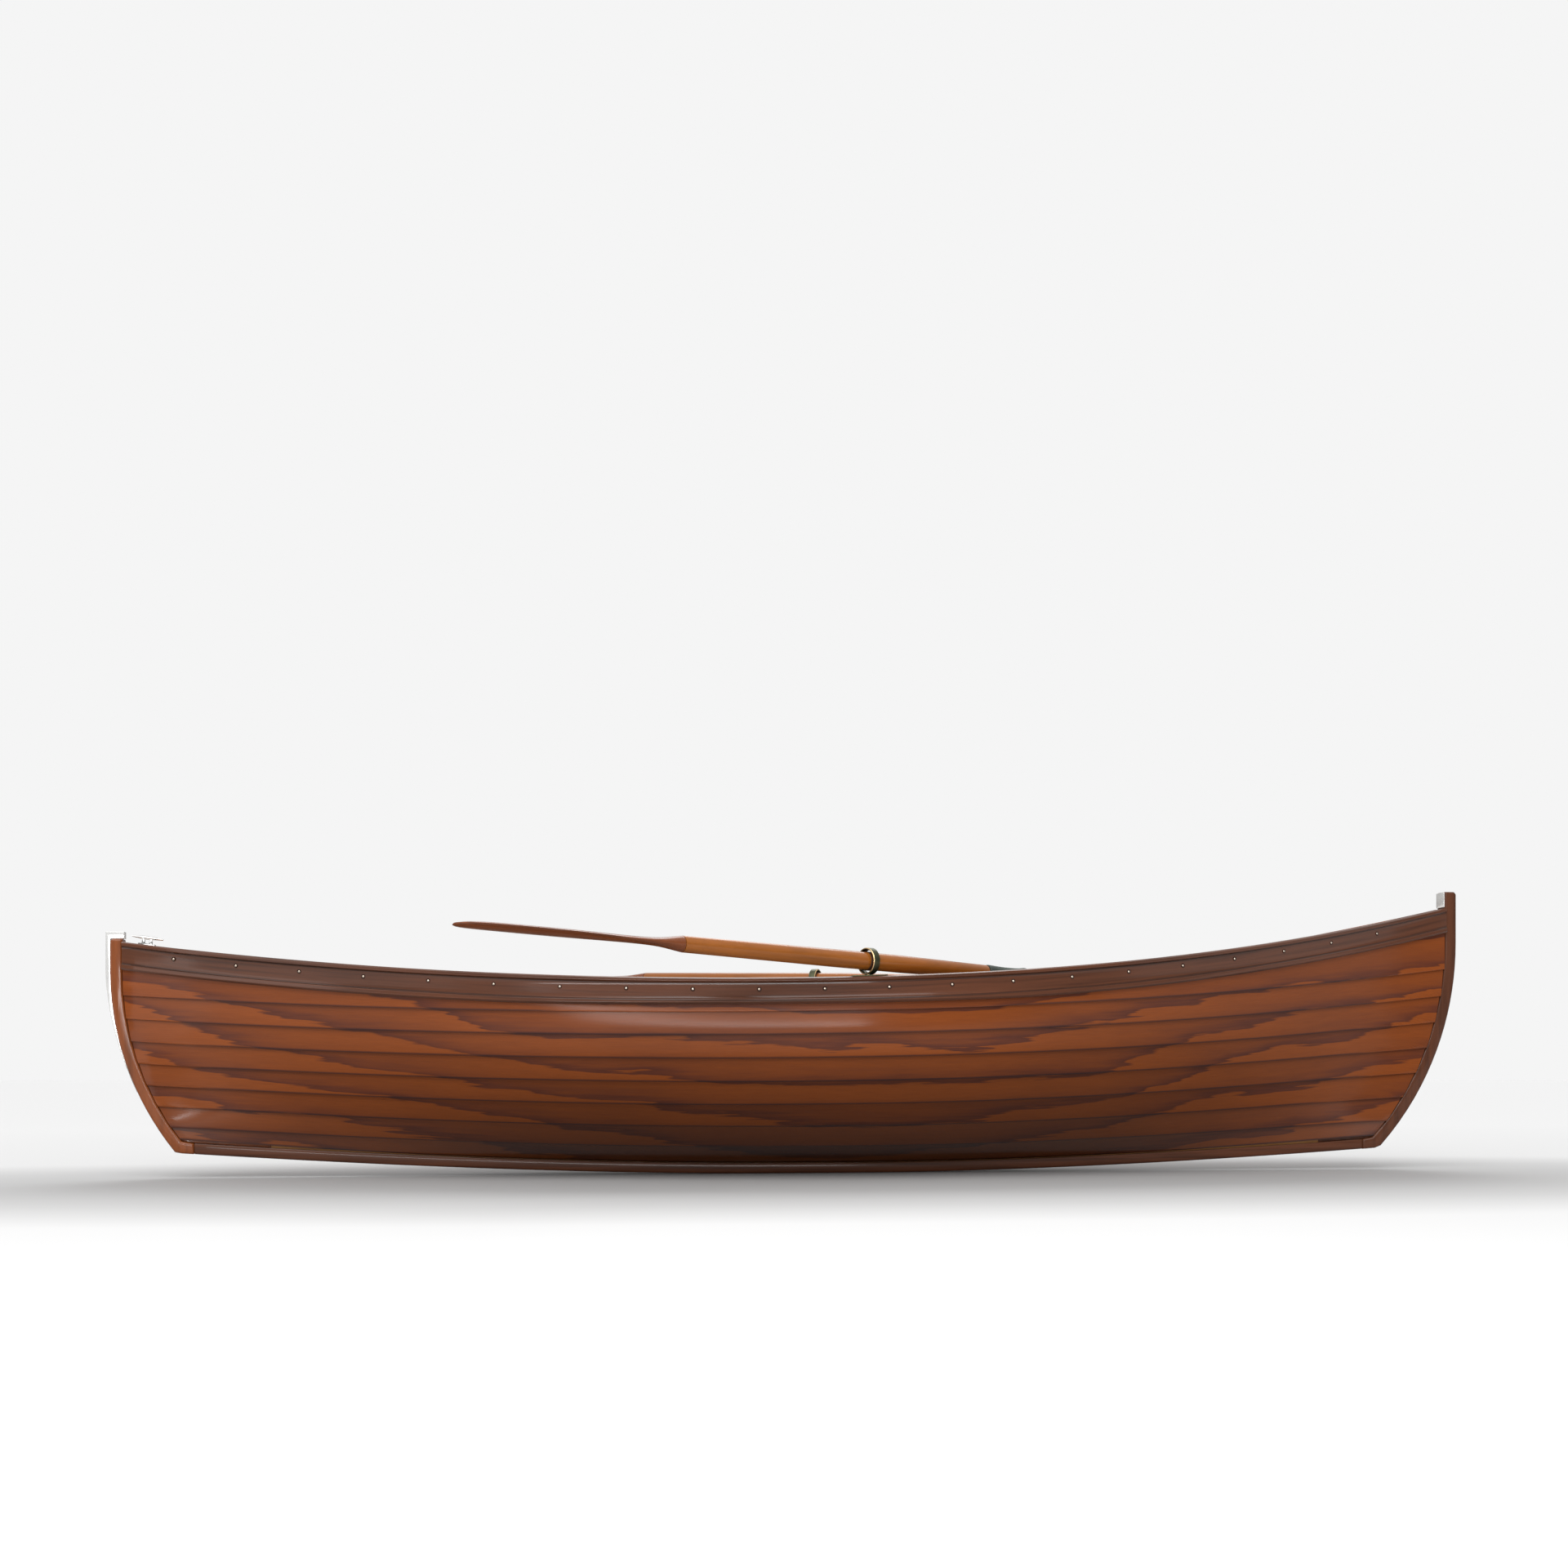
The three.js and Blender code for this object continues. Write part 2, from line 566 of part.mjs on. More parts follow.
function addInterior() {
  for (const [name, x] of Object.entries(THWART_AT)) place(name, thwart(x), 'interior');
  place('floorboard_centre', floorboard(-FLOORBOARD.centreHalf, FLOORBOARD.centreHalf), 'interior');
  place('floorboard_starboard', floorboard(-FLOORBOARD.outer, -FLOORBOARD.inner), 'interior');
  place('floorboard_port', floorboard(FLOORBOARD.inner, FLOORBOARD.outer), 'interior');
  place('foot_stretcher', footStretcher(), 'interior');
}

// ---------------------------------------------------------------- metal fittings

// Polished band up the sternpost's after face, thick at the top, with a cap over the head of the post.
function sternBand() {
  const heights = steps(BAND.foot, POST.head, 14);
  const thick = (z) => lerp(BAND.thin, BAND.thick, smoothstep(z, BAND.foot, POST.spring));
  const outline = [
    ...heights.map((z) => [endLine(POST, z, 0) - GAP, z]),
    [POST.outer - GAP, POST.head + GAP],
    [POST.outer + BAND.capLength, POST.head + GAP],
    [POST.outer + BAND.capLength, POST.head + BAND.capThick],
    [POST.outer - BAND.thick, POST.head + BAND.capThick],
    ...heights.map((z) => [endLine(POST, z, 0) - thick(z), z]).reverse(),
  ];
  return profilePlate(outline, BAND.wide, BAND.bevel);
}

function hornCleat() {
  const base = new THREE.BoxGeometry(CLEAT.base, CLEAT.wide, CLEAT.plate).translate(0, 0, CLEAT.plate / 2);
  const legs = [-1, 1].map((way) => {
    const height = CLEAT.high - CLEAT_HORN.below - 1;
    const leg = new THREE.CylinderGeometry(CLEAT_LEG.top, CLEAT_LEG.foot, height, 12);
    return leg.rotateX(Math.PI / 2).translate(way * CLEAT_LEG.apart, 0, CLEAT.high / 2);
  });
  const { tip, middle, boss, below } = CLEAT_HORN;
  const half = CLEAT.length / 2;
  const rod = [[-half, 0], [-half, tip], [-boss, middle], [boss, middle], [half, tip], [half, 0]];
  const cleat = join(base, ...legs, turned(rod, 12).translate(0, 0, CLEAT.high - below));
  const slope = Math.atan((sheer(CLEAT.x) - sheer(CLEAT.x + CLEAT.wide)) / CLEAT.wide);
  return cleat.rotateY(slope).translate(CLEAT.x, 0, sheer(CLEAT.x) + GAP + CLEAT.lift);
}

function stemPlate() {
  const x = STEM.outer - STEM.moulded - GAP - PLATE.thick / 2;
  const plate = new THREE.BoxGeometry(PLATE.thick, END_SIDED - 2 * PLATE.inset, PLATE.high);
  return plate.translate(x, 0, STEM.head - PLATE.high / 2 - PLATE.inset);
}

// Plate on the gunwale with the hole for the rowlock's pin.
function socket(side) {
  const half = SOCKET.length / 2;
  const rings = steps(ROWLOCK.x - half, ROWLOCK.x + half, 4).map((x) => {
    const [low, high] = [sheer(x) + SOCKET.lift, sheer(x) + SOCKET.lift + SOCKET.thick];
    return [[x, SOCKET.inner, low], [x, SOCKET.outer, low], [x, SOCKET.outer, high], [x, SOCKET.inner, high]];
  });
  const hole = new THREE.CylinderGeometry(SOCKET.hole, SOCKET.hole, 60, 24).rotateX(Math.PI / 2);
  hole.translate(ROWLOCK.x, side * ROWLOCK.y, sheer(ROWLOCK.x));
  return cut(loft(rings.map((ring) => mirrored(ring, side))), hole);
}

// ---------------------------------------------------------------- rowlocks and oars

// Closed ring about the oar's axis, with a pin below; the hole widens towards both faces.
function rowlock(yaw) {
  const half = ROWLOCK.band / 2;
  const bore = [1, 0.5, 0, -0.5, -1].map((share) => [
    share * half,
    lerp(ROWLOCK.throat, ROWLOCK.edge, share ** 2),
  ]);
  const { ringOuter: rim, chamfer } = ROWLOCK;
  const [shoulder, flat] = [rim - chamfer, half - chamfer];
  const outside = [[-half, shoulder], [-flat, rim], [flat, rim], [half, shoulder]];
  const ring = turned([...outside, ...bore], 32);
  const neck = sheer(ROWLOCK.x) + SOCKET.lift + SOCKET.thick + PIN.clear - ROWLOCK.z;
  const top = PIN.overlap - rim;
  const collar = new THREE.CylinderGeometry(COLLAR.top, COLLAR.foot, top - neck, 20).rotateX(Math.PI / 2);
  const pin = new THREE.CylinderGeometry(PIN.radius, PIN.radius, PIN.length, 20).rotateX(Math.PI / 2);
  collar.translate(0, 0, (neck + top) / 2);
  return join(ring.rotateZ(yaw), collar, pin.translate(0, 0, neck + 1 - PIN.length / 2));
}

// The oar's loom: straight taper each way from the ring, and a thin core that carries the grip.
function loom() {
  const step = LOOM.inner - LOOM.step;
  return turned([
    [CORE.end, 0],
    [CORE.end, CORE.radius],
    [step, CORE.radius],
    [step, LOOM.grip - LOOM.round],
    [LOOM.inner, LOOM.grip],
    [-LOOM.parallel, LOOM.ring],
    [LOOM.parallel, LOOM.ring],
    [LOOM.outer, LOOM.blade],
    [LOOM.outer, 0],
  ], 24);
}

function grip() {
  const bore = CORE.radius + GAP;
  const near = LOOM.inner - LOOM.step - GAP;
  const { inner: far, waist, flare: rim, endRound, endLength, taper } = GRIP;
  return turned([
    [far, bore],
    [far, rim - 2],
    [far + endRound, rim],
    [far + endLength, waist + 1],
    [far + taper, waist],
    [near - 2 * endLength, waist + 0.5],
    [near - endRound, rim - 1],
    [near, rim - endRound],
    [near, bore],
  ], 24);
}

function leather() {
  const [half, inner] = [LEATHER.length / 2, LOOM.ring + LEATHER.clear];
  return turned([[-half, inner], [-half, LEATHER.outer], [half, LEATHER.outer], [half, inner]], 32);
}

// Flat blade: round neck at the loom, thinning and spreading to a rounded tip.
function blade() {
  const turns = steps(0, 2 * Math.PI, 17).slice(0, -1);
  return loft(BLADE.map(([along, half, thick]) =>
    turns.map((turn) => [along, half * Math.cos(turn), thick * Math.sin(turn)])));
}

function addOars() {
  for (const [name, side] of Object.entries(SIDES)) {
    const yaw = Math.PI - side * degToRad(OAR_YAW);
    place(`rowlock_socket_${name}`, socket(side), 'bronze');
    const lock = place(`rowlock_${name}`, rowlock(yaw), 'bronze');
    lock.position.set(ROWLOCK.x, side * ROWLOCK.y, ROWLOCK.z);
    const oar = new THREE.Group();
    oar.position.copy(lock.position);
    oar.rotation.set(0, -degToRad(OAR_LIFT), yaw, 'ZYX');
    boat.add(oar);
    place(`oar_leather_${name}`, leather(), 'leather', oar);
    place(`oar_loom_${name}`, loom(), 'oar', oar);
    place(`oar_grip_${name}`, grip(), 'grip', oar);
    place(`oar_blade_${name}`, blade(), 'blade', oar);
  }
}

addPlanking();
place('keel', keel(), 'trim');
place('hog', hog(), 'interior');
place('stem', join(endPiece(STEM), apron(STEM)), 'trim');
place('sternpost', join(endPiece(POST), apron(POST)), 'post');
addLengthwise();
addInterior();
place('breasthook_bow', breasthook(STEM), 'interior');
place('breasthook_stern', breasthook(POST), 'interior');
place('stern_band', sternBand(), 'nickel');
place('stern_cleat', hornCleat(), 'nickel');
place('stem_head_plate', stemPlate(), 'nickel');
addOars();

export default boat;
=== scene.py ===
"""Looks of a double-ended lapstrake rowing canoe with a pair of oars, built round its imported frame."""

import json
import math

import bpy
import numpy as np
from bpy.props import FloatProperty, FloatVectorProperty, IntProperty, PointerProperty
from mathutils import Matrix, Vector
from mathutils.bvhtree import BVHTree


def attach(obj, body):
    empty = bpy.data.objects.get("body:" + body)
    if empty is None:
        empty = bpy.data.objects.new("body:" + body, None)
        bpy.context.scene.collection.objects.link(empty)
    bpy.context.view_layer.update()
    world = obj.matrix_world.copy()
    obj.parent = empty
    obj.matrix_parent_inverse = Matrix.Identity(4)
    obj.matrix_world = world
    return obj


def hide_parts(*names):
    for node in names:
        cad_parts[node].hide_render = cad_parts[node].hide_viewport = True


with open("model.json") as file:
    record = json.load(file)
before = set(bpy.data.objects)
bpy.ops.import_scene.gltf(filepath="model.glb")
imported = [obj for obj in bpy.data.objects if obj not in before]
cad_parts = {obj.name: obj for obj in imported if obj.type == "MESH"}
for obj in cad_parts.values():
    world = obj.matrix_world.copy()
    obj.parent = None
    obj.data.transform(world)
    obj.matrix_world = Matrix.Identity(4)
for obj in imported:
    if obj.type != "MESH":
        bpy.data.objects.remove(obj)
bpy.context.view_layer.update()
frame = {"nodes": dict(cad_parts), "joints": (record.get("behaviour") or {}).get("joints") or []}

bl_info = {
    "name": "Lapstrake rowing canoe",
    "version": (1, 0, 0),
    "blender": (4, 5, 0),
    "location": "3D View > Sidebar > Canoe",
    "description": "Builds the pieces and finishes of a lapstrake rowing canoe",
    "category": "Object",
}

SIDES = {"starboard": -1, "port": 1}
STRAKES = ["garboard"] + [f"strake_{k}" for k in range(2, 8)] + ["sheer_strake"]
CAD_RIBS = [f"rib_{i}" for i in range(1, 10)]
MM = 0.001
PLANK_SHIFT = 0.4  # metres across the grain from one plank's figure to the next one's
PLANK_SLIDE = 1.7  # metres along the grain from one plank's figure to the next one's
PLANK_SHADES = (1.0, 0.74, 0.55, 0.4, 0.26, 0.14, 0.1, 0.0)  # how much painted shade darkens each plank, from the garboard up
OUTWALE_GROOVES = (15.5 * MM, 61 * MM)  # depths of the lines of painted shade in the grooves beside the outwale's beads
PORE_DEPTH = 0.15 * MM
BEYOND = 3.0  # metres from amidships, past both ends of the boat


# ---------------------------------------------------------------- sizes and colours a user would change


def length(name, description, millimetres):
    return FloatProperty(name=name, description=description, default=millimetres * MM, min=0, unit="LENGTH")


def linear(text):
    """A colour written as sRGB hex, as linear values."""
    parts = [int(text[i : i + 2], 16) / 255 for i in (1, 3, 5)]
    return tuple(c / 12.92 if c <= 0.04045 else ((c + 0.055) / 1.055) ** 2.4 for c in parts)


def colour(name, description, text):
    return FloatVectorProperty(
        name=name, description=description, default=linear(text), subtype="COLOR", size=3, min=0, max=1
    )


class CanoeSizes(bpy.types.PropertyGroup):
    plank_edge: length("Plank edge", "Rounding of the planks' edges", 1.6)
    trim_edge: length("Trim edge", "Rounding of gunwales, keel and stem", 2.2)
    post_edge: length("Sternpost edge", "Rounding of the sternpost", 7)
    rib_edge: length("Rib edge", "Rounding of the ribs", 1.5)
    seat_edge: length("Seat edge", "Rounding of thwarts and floorboards", 4)
    metal_edge: length("Metal edge", "Rounding of the metal fittings", 0.8)
    oar_edge: length("Oar edge", "Rounding of looms, blades and grips", 0.8)
    leather_edge: length("Leather edge", "Rounding of the leather collars", 0.5)
    rivet_pitch: length("Rivet pitch", "Distance between gunwale rivets along the boat", 180)
    rivet_drop: length("Rivet drop", "Height of the gunwale rivets below the sheer", 31)
    rivet_radius: length("Rivet radius", "Radius of a gunwale rivet's head", 5.0)
    rivet_count: IntProperty(name="Rivets", description="Gunwale rivets on each side", default=21, min=1)
    rove_radius: length("Rove radius", "Radius of the copper roves on the ribs", 4.5)


class CanoeColours(bpy.types.PropertyGroup):
    plank_light: colour("Plank, light", "Early wood of the mahogany planks", "#884416")
    plank_dark: colour("Plank, dark", "Dark figure of the mahogany planks", "#542A1E")
    trim: colour("Trim", "Gunwales, keel and stem", "#58321F")
    post: colour("Sternpost", "Sternpost", "#80431C")
    interior: colour("Interior", "Ribs, seats and floorboards", "#96683A")
    oar: colour("Oar", "Looms of the oars", "#94561F")
    blade: colour("Blade", "Blades of the oars", "#784020")
    grip: colour("Grip", "Grips of the oars", "#38403A")
    leather: colour("Leather", "Collars on the oars", "#4A2E1C")
    bronze: colour("Bronze", "Patinated rowlocks and sockets", "#4C4A36")
    bright_bronze: colour("Bright bronze", "Worn rims of the rowlocks", "#D8B88A")
    nickel: colour("Nickel", "Stern band, cleat and stem plate", "#F2F2F0")
    copper: colour("Copper", "Roves on the ribs", "#B8765A")
    rivet: colour("Rivet", "Heads of the gunwale rivets", "#D0C0B0")


# ---------------------------------------------------------------- working on meshes


def work_on(piece):
    """Makes one piece the only thing that is selected, and active."""
    if bpy.context.object and bpy.context.object.mode != "OBJECT":
        bpy.ops.object.mode_set(mode="OBJECT")
    bpy.ops.object.select_all(action="DESELECT")
    piece.select_set(True)
    bpy.context.view_layer.objects.active = piece


def bench_copy(node, name=None):
    """A copy of a CAD piece with its loose triangles merged and joined into four-sided faces."""
    source = frame["nodes"][node]
    piece = source.copy()
    piece.data = source.data.copy()
    piece.parent = None
    piece.name = name or f"finished_{node}"
    for key in list(piece.keys()):
        del piece[key]
    bpy.context.scene.collection.objects.link(piece)
    piece.hide_render = piece.hide_viewport = False
    work_on(piece)
    bpy.ops.object.mode_set(mode="EDIT")
    bpy.ops.mesh.select_all(action="SELECT")
    bpy.ops.mesh.remove_doubles(threshold=0.01 * MM)
    bpy.ops.mesh.tris_convert_to_quads(face_threshold=math.radians(20), shape_threshold=math.radians(70))
    bpy.ops.object.mode_set(mode="OBJECT")
    if piece.data.has_custom_normals:
        bpy.ops.mesh.customdata_custom_splitnormals_clear()
    for layer in list(piece.data.uv_layers):
        piece.data.uv_layers.remove(layer)
    return piece


def join_flat_faces(piece, degrees=0.4):
    """Clears the edges that lie inside flat faces."""
    work_on(piece)
    bpy.ops.object.mode_set(mode="EDIT")
    bpy.ops.mesh.select_all(action="SELECT")
    bpy.ops.mesh.dissolve_limited(angle_limit=math.radians(degrees))
    bpy.ops.object.mode_set(mode="OBJECT")


def crease_sharp_edges(piece, degrees):
    work_on(piece)
    bpy.ops.object.mode_set(mode="EDIT")
    bpy.ops.mesh.select_mode(type="EDGE")
    bpy.ops.mesh.select_all(action="DESELECT")
    bpy.ops.mesh.edges_select_sharp(sharpness=math.radians(degrees))
    bpy.ops.transform.edge_crease(value=1)
    bpy.ops.mesh.select_mode(type="VERT")
    bpy.ops.object.mode_set(mode="OBJECT")


def apply_modifier(piece, kind, **settings):
    """Adds one modifier with its settings and applies it."""
    work_on(piece)
    modifier = piece.modifiers.new(kind.title(), kind)
    for key, value in settings.items():
        setattr(modifier, key, value)
    bpy.ops.object.modifier_apply(modifier=modifier.name)


def smooth_lengthwise(piece, levels=2, degrees=28):
    """Rounds a piece's run between its stations and keeps the edges that are sharper than the angle."""
    crease_sharp_edges(piece, degrees)
    apply_modifier(piece, "SUBSURF", levels=levels, render_levels=levels)


def round_edges(piece, width, segments=2, degrees=28):
    """Bevels the edges that are sharper than the angle and shades the piece smooth between them."""
    apply_modifier(
        piece, "BEVEL", width=width, segments=segments, limit_method="ANGLE",
        angle_limit=math.radians(degrees), harden_normals=False,
    )
    work_on(piece)
    bpy.ops.object.shade_smooth_by_angle(angle=math.radians(40))


def lay_grain(piece, along, across):
    """Writes the UV map that the wood follows: metres along the grain and across it."""
    mesh = piece.data
    layer = mesh.uv_layers.new(name="grain")
    places = vertex_places(mesh)
    flat = np.column_stack((along(places), across(places)))
    corners = np.empty(len(mesh.loops), np.int32)
    mesh.loops.foreach_get("vertex_index", corners)
    layer.data.foreach_set("uv", flat[corners].astype(np.float32).ravel())


def vertex_places(mesh):
    places = np.empty(len(mesh.vertices) * 3)
    mesh.vertices.foreach_get("co", places)
    return places.reshape(-1, 3)


def set_painted_shade(piece, value):
    """How much painted shade darkens a board, from 0 to 1, as the tone attribute of its points."""
    tone = piece.data.attributes.new("tone", "FLOAT", "POINT")
    tone.data.foreach_set("value", np.full(len(piece.data.vertices), value, np.float32))


def finish_piece(piece, body, slot, material, *nodes):
    """Gives a piece its finish and its body, and hides the CAD pieces that it stands for."""
    piece.data.materials.clear()
    piece.data.materials.append(material)
    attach(piece, body)
    if nodes:
        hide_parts(*nodes)
    return piece


def join_copies(model, name, places):
    """One piece made of copies of a model, one for each placing matrix."""
    copies = []
    for matrix in places:
        copy = model.copy()
        copy.data = model.data.copy()
        copy.data.transform(matrix)
        bpy.context.scene.collection.objects.link(copy)
        copies.append(copy)
    bpy.data.objects.remove(model)
    work_on(copies[0])
    for copy in copies:
        copy.select_set(True)
    bpy.ops.object.join()
    copies[0].name = name
    return copies[0]


def solid_of(*nodes):
    """CAD pieces as one tree that rays can be cast at."""
    points, faces = [], []
    for node in nodes:
        mesh = frame["nodes"][node].data
        start = len(points)
        points += [v.co.copy() for v in mesh.vertices]
        faces += [[start + i for i in face.vertices] for face in mesh.polygons]
    return BVHTree.FromPolygons(points, faces)


def feather_joint(side):
    """The joint that an oar rolls on: its axis lies along the oar, and its place is in the ring."""
    return next(joint for joint in frame["joints"] if joint["name"] == f"oar_feather_{side}")


def facing(place, normal, turn=0.0):
    """Matrix that stands a piece modelled on +Z up along a normal at a place."""
    upright = Vector(normal).normalized().to_track_quat("Z", "Y").to_matrix().to_4x4()
    return Matrix.Translation(place) @ upright @ Matrix.Rotation(turn, 4, "Z")


def follow(stations, values, x):
    """A line's value at x, run on straight past both ends."""
    first = values[0] + (values[1] - values[0]) / (stations[1] - stations[0]) * (-BEYOND - stations[0])
    last = values[-1] + (values[-1] - values[-2]) / (stations[-1] - stations[-2]) * (BEYOND - stations[-1])
    return np.interp(x, [-BEYOND, *stations, BEYOND], [first, *values, last])


def edge_line(node, lowest, ring_points=8):
    """Lowest or highest edge of a lengthwise piece: stations, half-widths and heights. A station counts when
    it holds a whole ring of the piece's points."""
    places = np.unique(np.round(vertex_places(frame["nodes"][node].data), 5), axis=0)
    line = []
    for x in np.unique(np.round(places[:, 0], 4)):
        ring = places[np.abs(places[:, 0] - x) < 0.06 * MM]
        if len(ring) >= ring_points:
            line.append(ring[np.argmin(ring[:, 2]) if lowest else np.argmax(ring[:, 2])])
    line = np.array(line)
    return line[:, 0], np.abs(line[:, 1]), line[:, 2]


# ---------------------------------------------------------------- finishes


def add(tree, kind, inputs=None, stops=(), **settings):
    """Adds a node with its settings and colour stops, links or fills its inputs, and returns its outputs."""
    node = tree.nodes.new(kind)
    for key, value in settings.items():
        setattr(node, key, value)
    for key, value in (inputs or {}).items():
        socket = node.inputs[key]
        if isinstance(value, bpy.types.NodeSocket):
            tree.links.new(value, socket)
        elif socket.type == "RGBA":
            socket.default_value = (*value, 1)
        else:
            socket.default_value = value
    for i, (place, tint) in enumerate(stops):
        band = node.color_ramp.elements
        stop = band[i] if i < len(band) else band.new(place)
        stop.position, stop.color = place, (*tint, 1)
    return node.outputs


def new_finish(name):
    """A material with nothing in its node tree yet."""
    material = bpy.data.materials.new(name)
    material.use_nodes = True
    material.node_tree.nodes.clear()
    return material, material.node_tree


def scaled(tint, factor):
    return tuple(min(1.0, c * factor) for c in tint)


def blend(first, second, share):
    return tuple((1 - share) * a + share * b for a, b in zip(first, second))


def per_metre(*sizes):
    """A pattern's scale on each axis, from the size of its cells in millimetres."""
    return tuple(1 / (size * MM) for size in sizes)


def varnished_mahogany_planks(colours):
    """Flat-sawn mahogany, varnished: broad flame figure whose dark edge is sharp on one side and feathered by
    the fibres, and which runs on from plank to plank down towards amidships. Painted shade makes the lower
    planks darker and cooler, and a line of painted shade darkens each plank's lower edge at its lap."""
    material, tree = new_finish("varnished_mahogany_planks")
    light, dark = tuple(colours.plank_light), tuple(colours.plank_dark)
    coordinates = add(tree, "ShaderNodeTexCoord")
    place, uv = coordinates["Object"], coordinates["UV"]
    x, _, z = add(tree, "ShaderNodeSeparateXYZ", {"Vector": place})
    noises = []
    for source, cells, detail in (
        (place, (909.1, 909.1, 312.5), 2),
        (uv, (200, 13.333, 1000), 3),
        (uv, (769.23, 166.67, 1000), 2),
        (uv, (71.429, 1.1111, 1000), 5),
    ):
        stretched = add(tree, "ShaderNodeMapping", {"Vector": source, "Scale": per_metre(*cells)})[0]
        noise = add(tree, "ShaderNodeTexNoise", {"Vector": stretched, "Scale": 1, "Detail": detail})
        noises.append(noise["Fac"])
    wander, fibres, calm, pores = noises

    # Height within the flames, in metres: they fall away from a blunt tip amidships to both ends.
    blunt = 0.4
    squared = add(tree, "ShaderNodeMath", {0: x, 1: x, 2: blunt**2}, operation="MULTIPLY_ADD")[0]
    reach = add(tree, "ShaderNodeMath", {0: squared}, operation="SQRT")[0]
    flame = z
    for source, share in ((reach, -0.2), (wander, 0.22), (fibres, 0.05)):
        flame = add(tree, "ShaderNodeMath", {0: source, 1: share, 2: flame}, operation="MULTIPLY_ADD")[0]
    flames_per_metre = 10.5
    flame = add(tree, "ShaderNodeMath", {0: flame, 1: flames_per_metre}, operation="MULTIPLY")[0]
    ring = add(tree, "ShaderNodeMath", {0: flame}, operation="FRACT")[0]
    late_wood = scaled(dark, 0.85)
    bands = [
        (0, late_wood),
        (0.05, dark),
        (0.24, blend(light, dark, 0.5)),
        (0.5, blend(light, dark, 0.2)),
        (0.96, scaled(light, 1.08)),
        (1, late_wood),
    ]
    figure = add(tree, "ShaderNodeValToRGB", {"Fac": ring}, stops=bands)[0]
    plain = blend(light, dark, 0.45)
    faded = add(tree, "ShaderNodeMath", {0: calm, 1: 0.5}, operation="MULTIPLY")[0]
    figure = add(tree, "ShaderNodeMix", {0: faded, 6: figure, 7: plain}, data_type="RGBA")[2]
    pore_shades = [(0.3, (0.72, 0.7, 0.7)), (0.62, (1.06, 1.04, 1.02))]
    lines = add(tree, "ShaderNodeValToRGB", {"Fac": pores}, stops=pore_shades)[0]
    lined = {0: 0.55, 6: figure, 7: lines}
    figure = add(tree, "ShaderNodeMix", lined, data_type="RGBA", blend_type="MULTIPLY")[2]

    # Each plank's tone is painted shade: it darkens and cools the plank, less and less beyond 0.9 m from
    # amidships.
    tone = add(tree, "ShaderNodeAttribute", attribute_name="tone")["Fac"]
    ends = {"Value": reach, "From Min": 0.9, "From Max": 1.9, "To Min": 1, "To Max": 0.35}
    fade = add(tree, "ShaderNodeMapRange", ends)[0]
    painted_shade_share = add(tree, "ShaderNodeMath", {0: tone, 1: fade}, operation="MULTIPLY")[0]
    cool_shade = {0: 1, 6: figure, 7: (0.48, 0.54, 0.64)}
    darker = add(tree, "ShaderNodeMix", cool_shade, data_type="RGBA", blend_type="MULTIPLY")[2]
    figure = add(tree, "ShaderNodeMix", {0: painted_shade_share, 6: figure, 7: darker}, data_type="RGBA")[2]

    # Painted shade: a dark line along each plank's lower edge, where the lap throws its shadow.
    across = add(tree, "ShaderNodeSeparateXYZ", {"Vector": uv})["Y"]
    from_edge = add(tree, "ShaderNodeMath", {0: across, 1: PLANK_SHIFT}, operation="MODULO")[0]
    lap_shade_band = {"Value": from_edge, "From Min": 2.5 * MM, "From Max": 6 * MM, "To Min": 0.7, "To Max": 0}
    near = add(tree, "ShaderNodeMapRange", lap_shade_band)[0]
    figure = add(tree, "ShaderNodeMix", {0: near, 6: figure, 7: linear("#271A1D")}, data_type="RGBA")[2]

    # The garboard, whose tone gives it the most painted shade, shows the floor's pale light in a fuller coat.
    gloss = add(tree, "ShaderNodeMapRange", {"Value": pores, "To Min": 0.24, "To Max": 0.36})[0]
    full = {"Value": tone, "From Min": 0.6, "To Min": 0.26, "To Max": 0.95}
    coat = add(tree, "ShaderNodeMapRange", full)[0]
    open_grain = {"Height": pores, "Strength": 0.25, "Distance": PORE_DEPTH}
    relief = add(tree, "ShaderNodeBump", open_grain)[0]
    surface = add(tree, "ShaderNodeBsdfPrincipled", {
        "Base Color": figure, "Roughness": gloss, "Normal": relief, "Specular IOR Level": 0.1,
        "Coat Weight": coat, "Coat Roughness": 0.14,
    })[0]
    add(tree, "ShaderNodeOutputMaterial", {"Surface": surface})
    return material


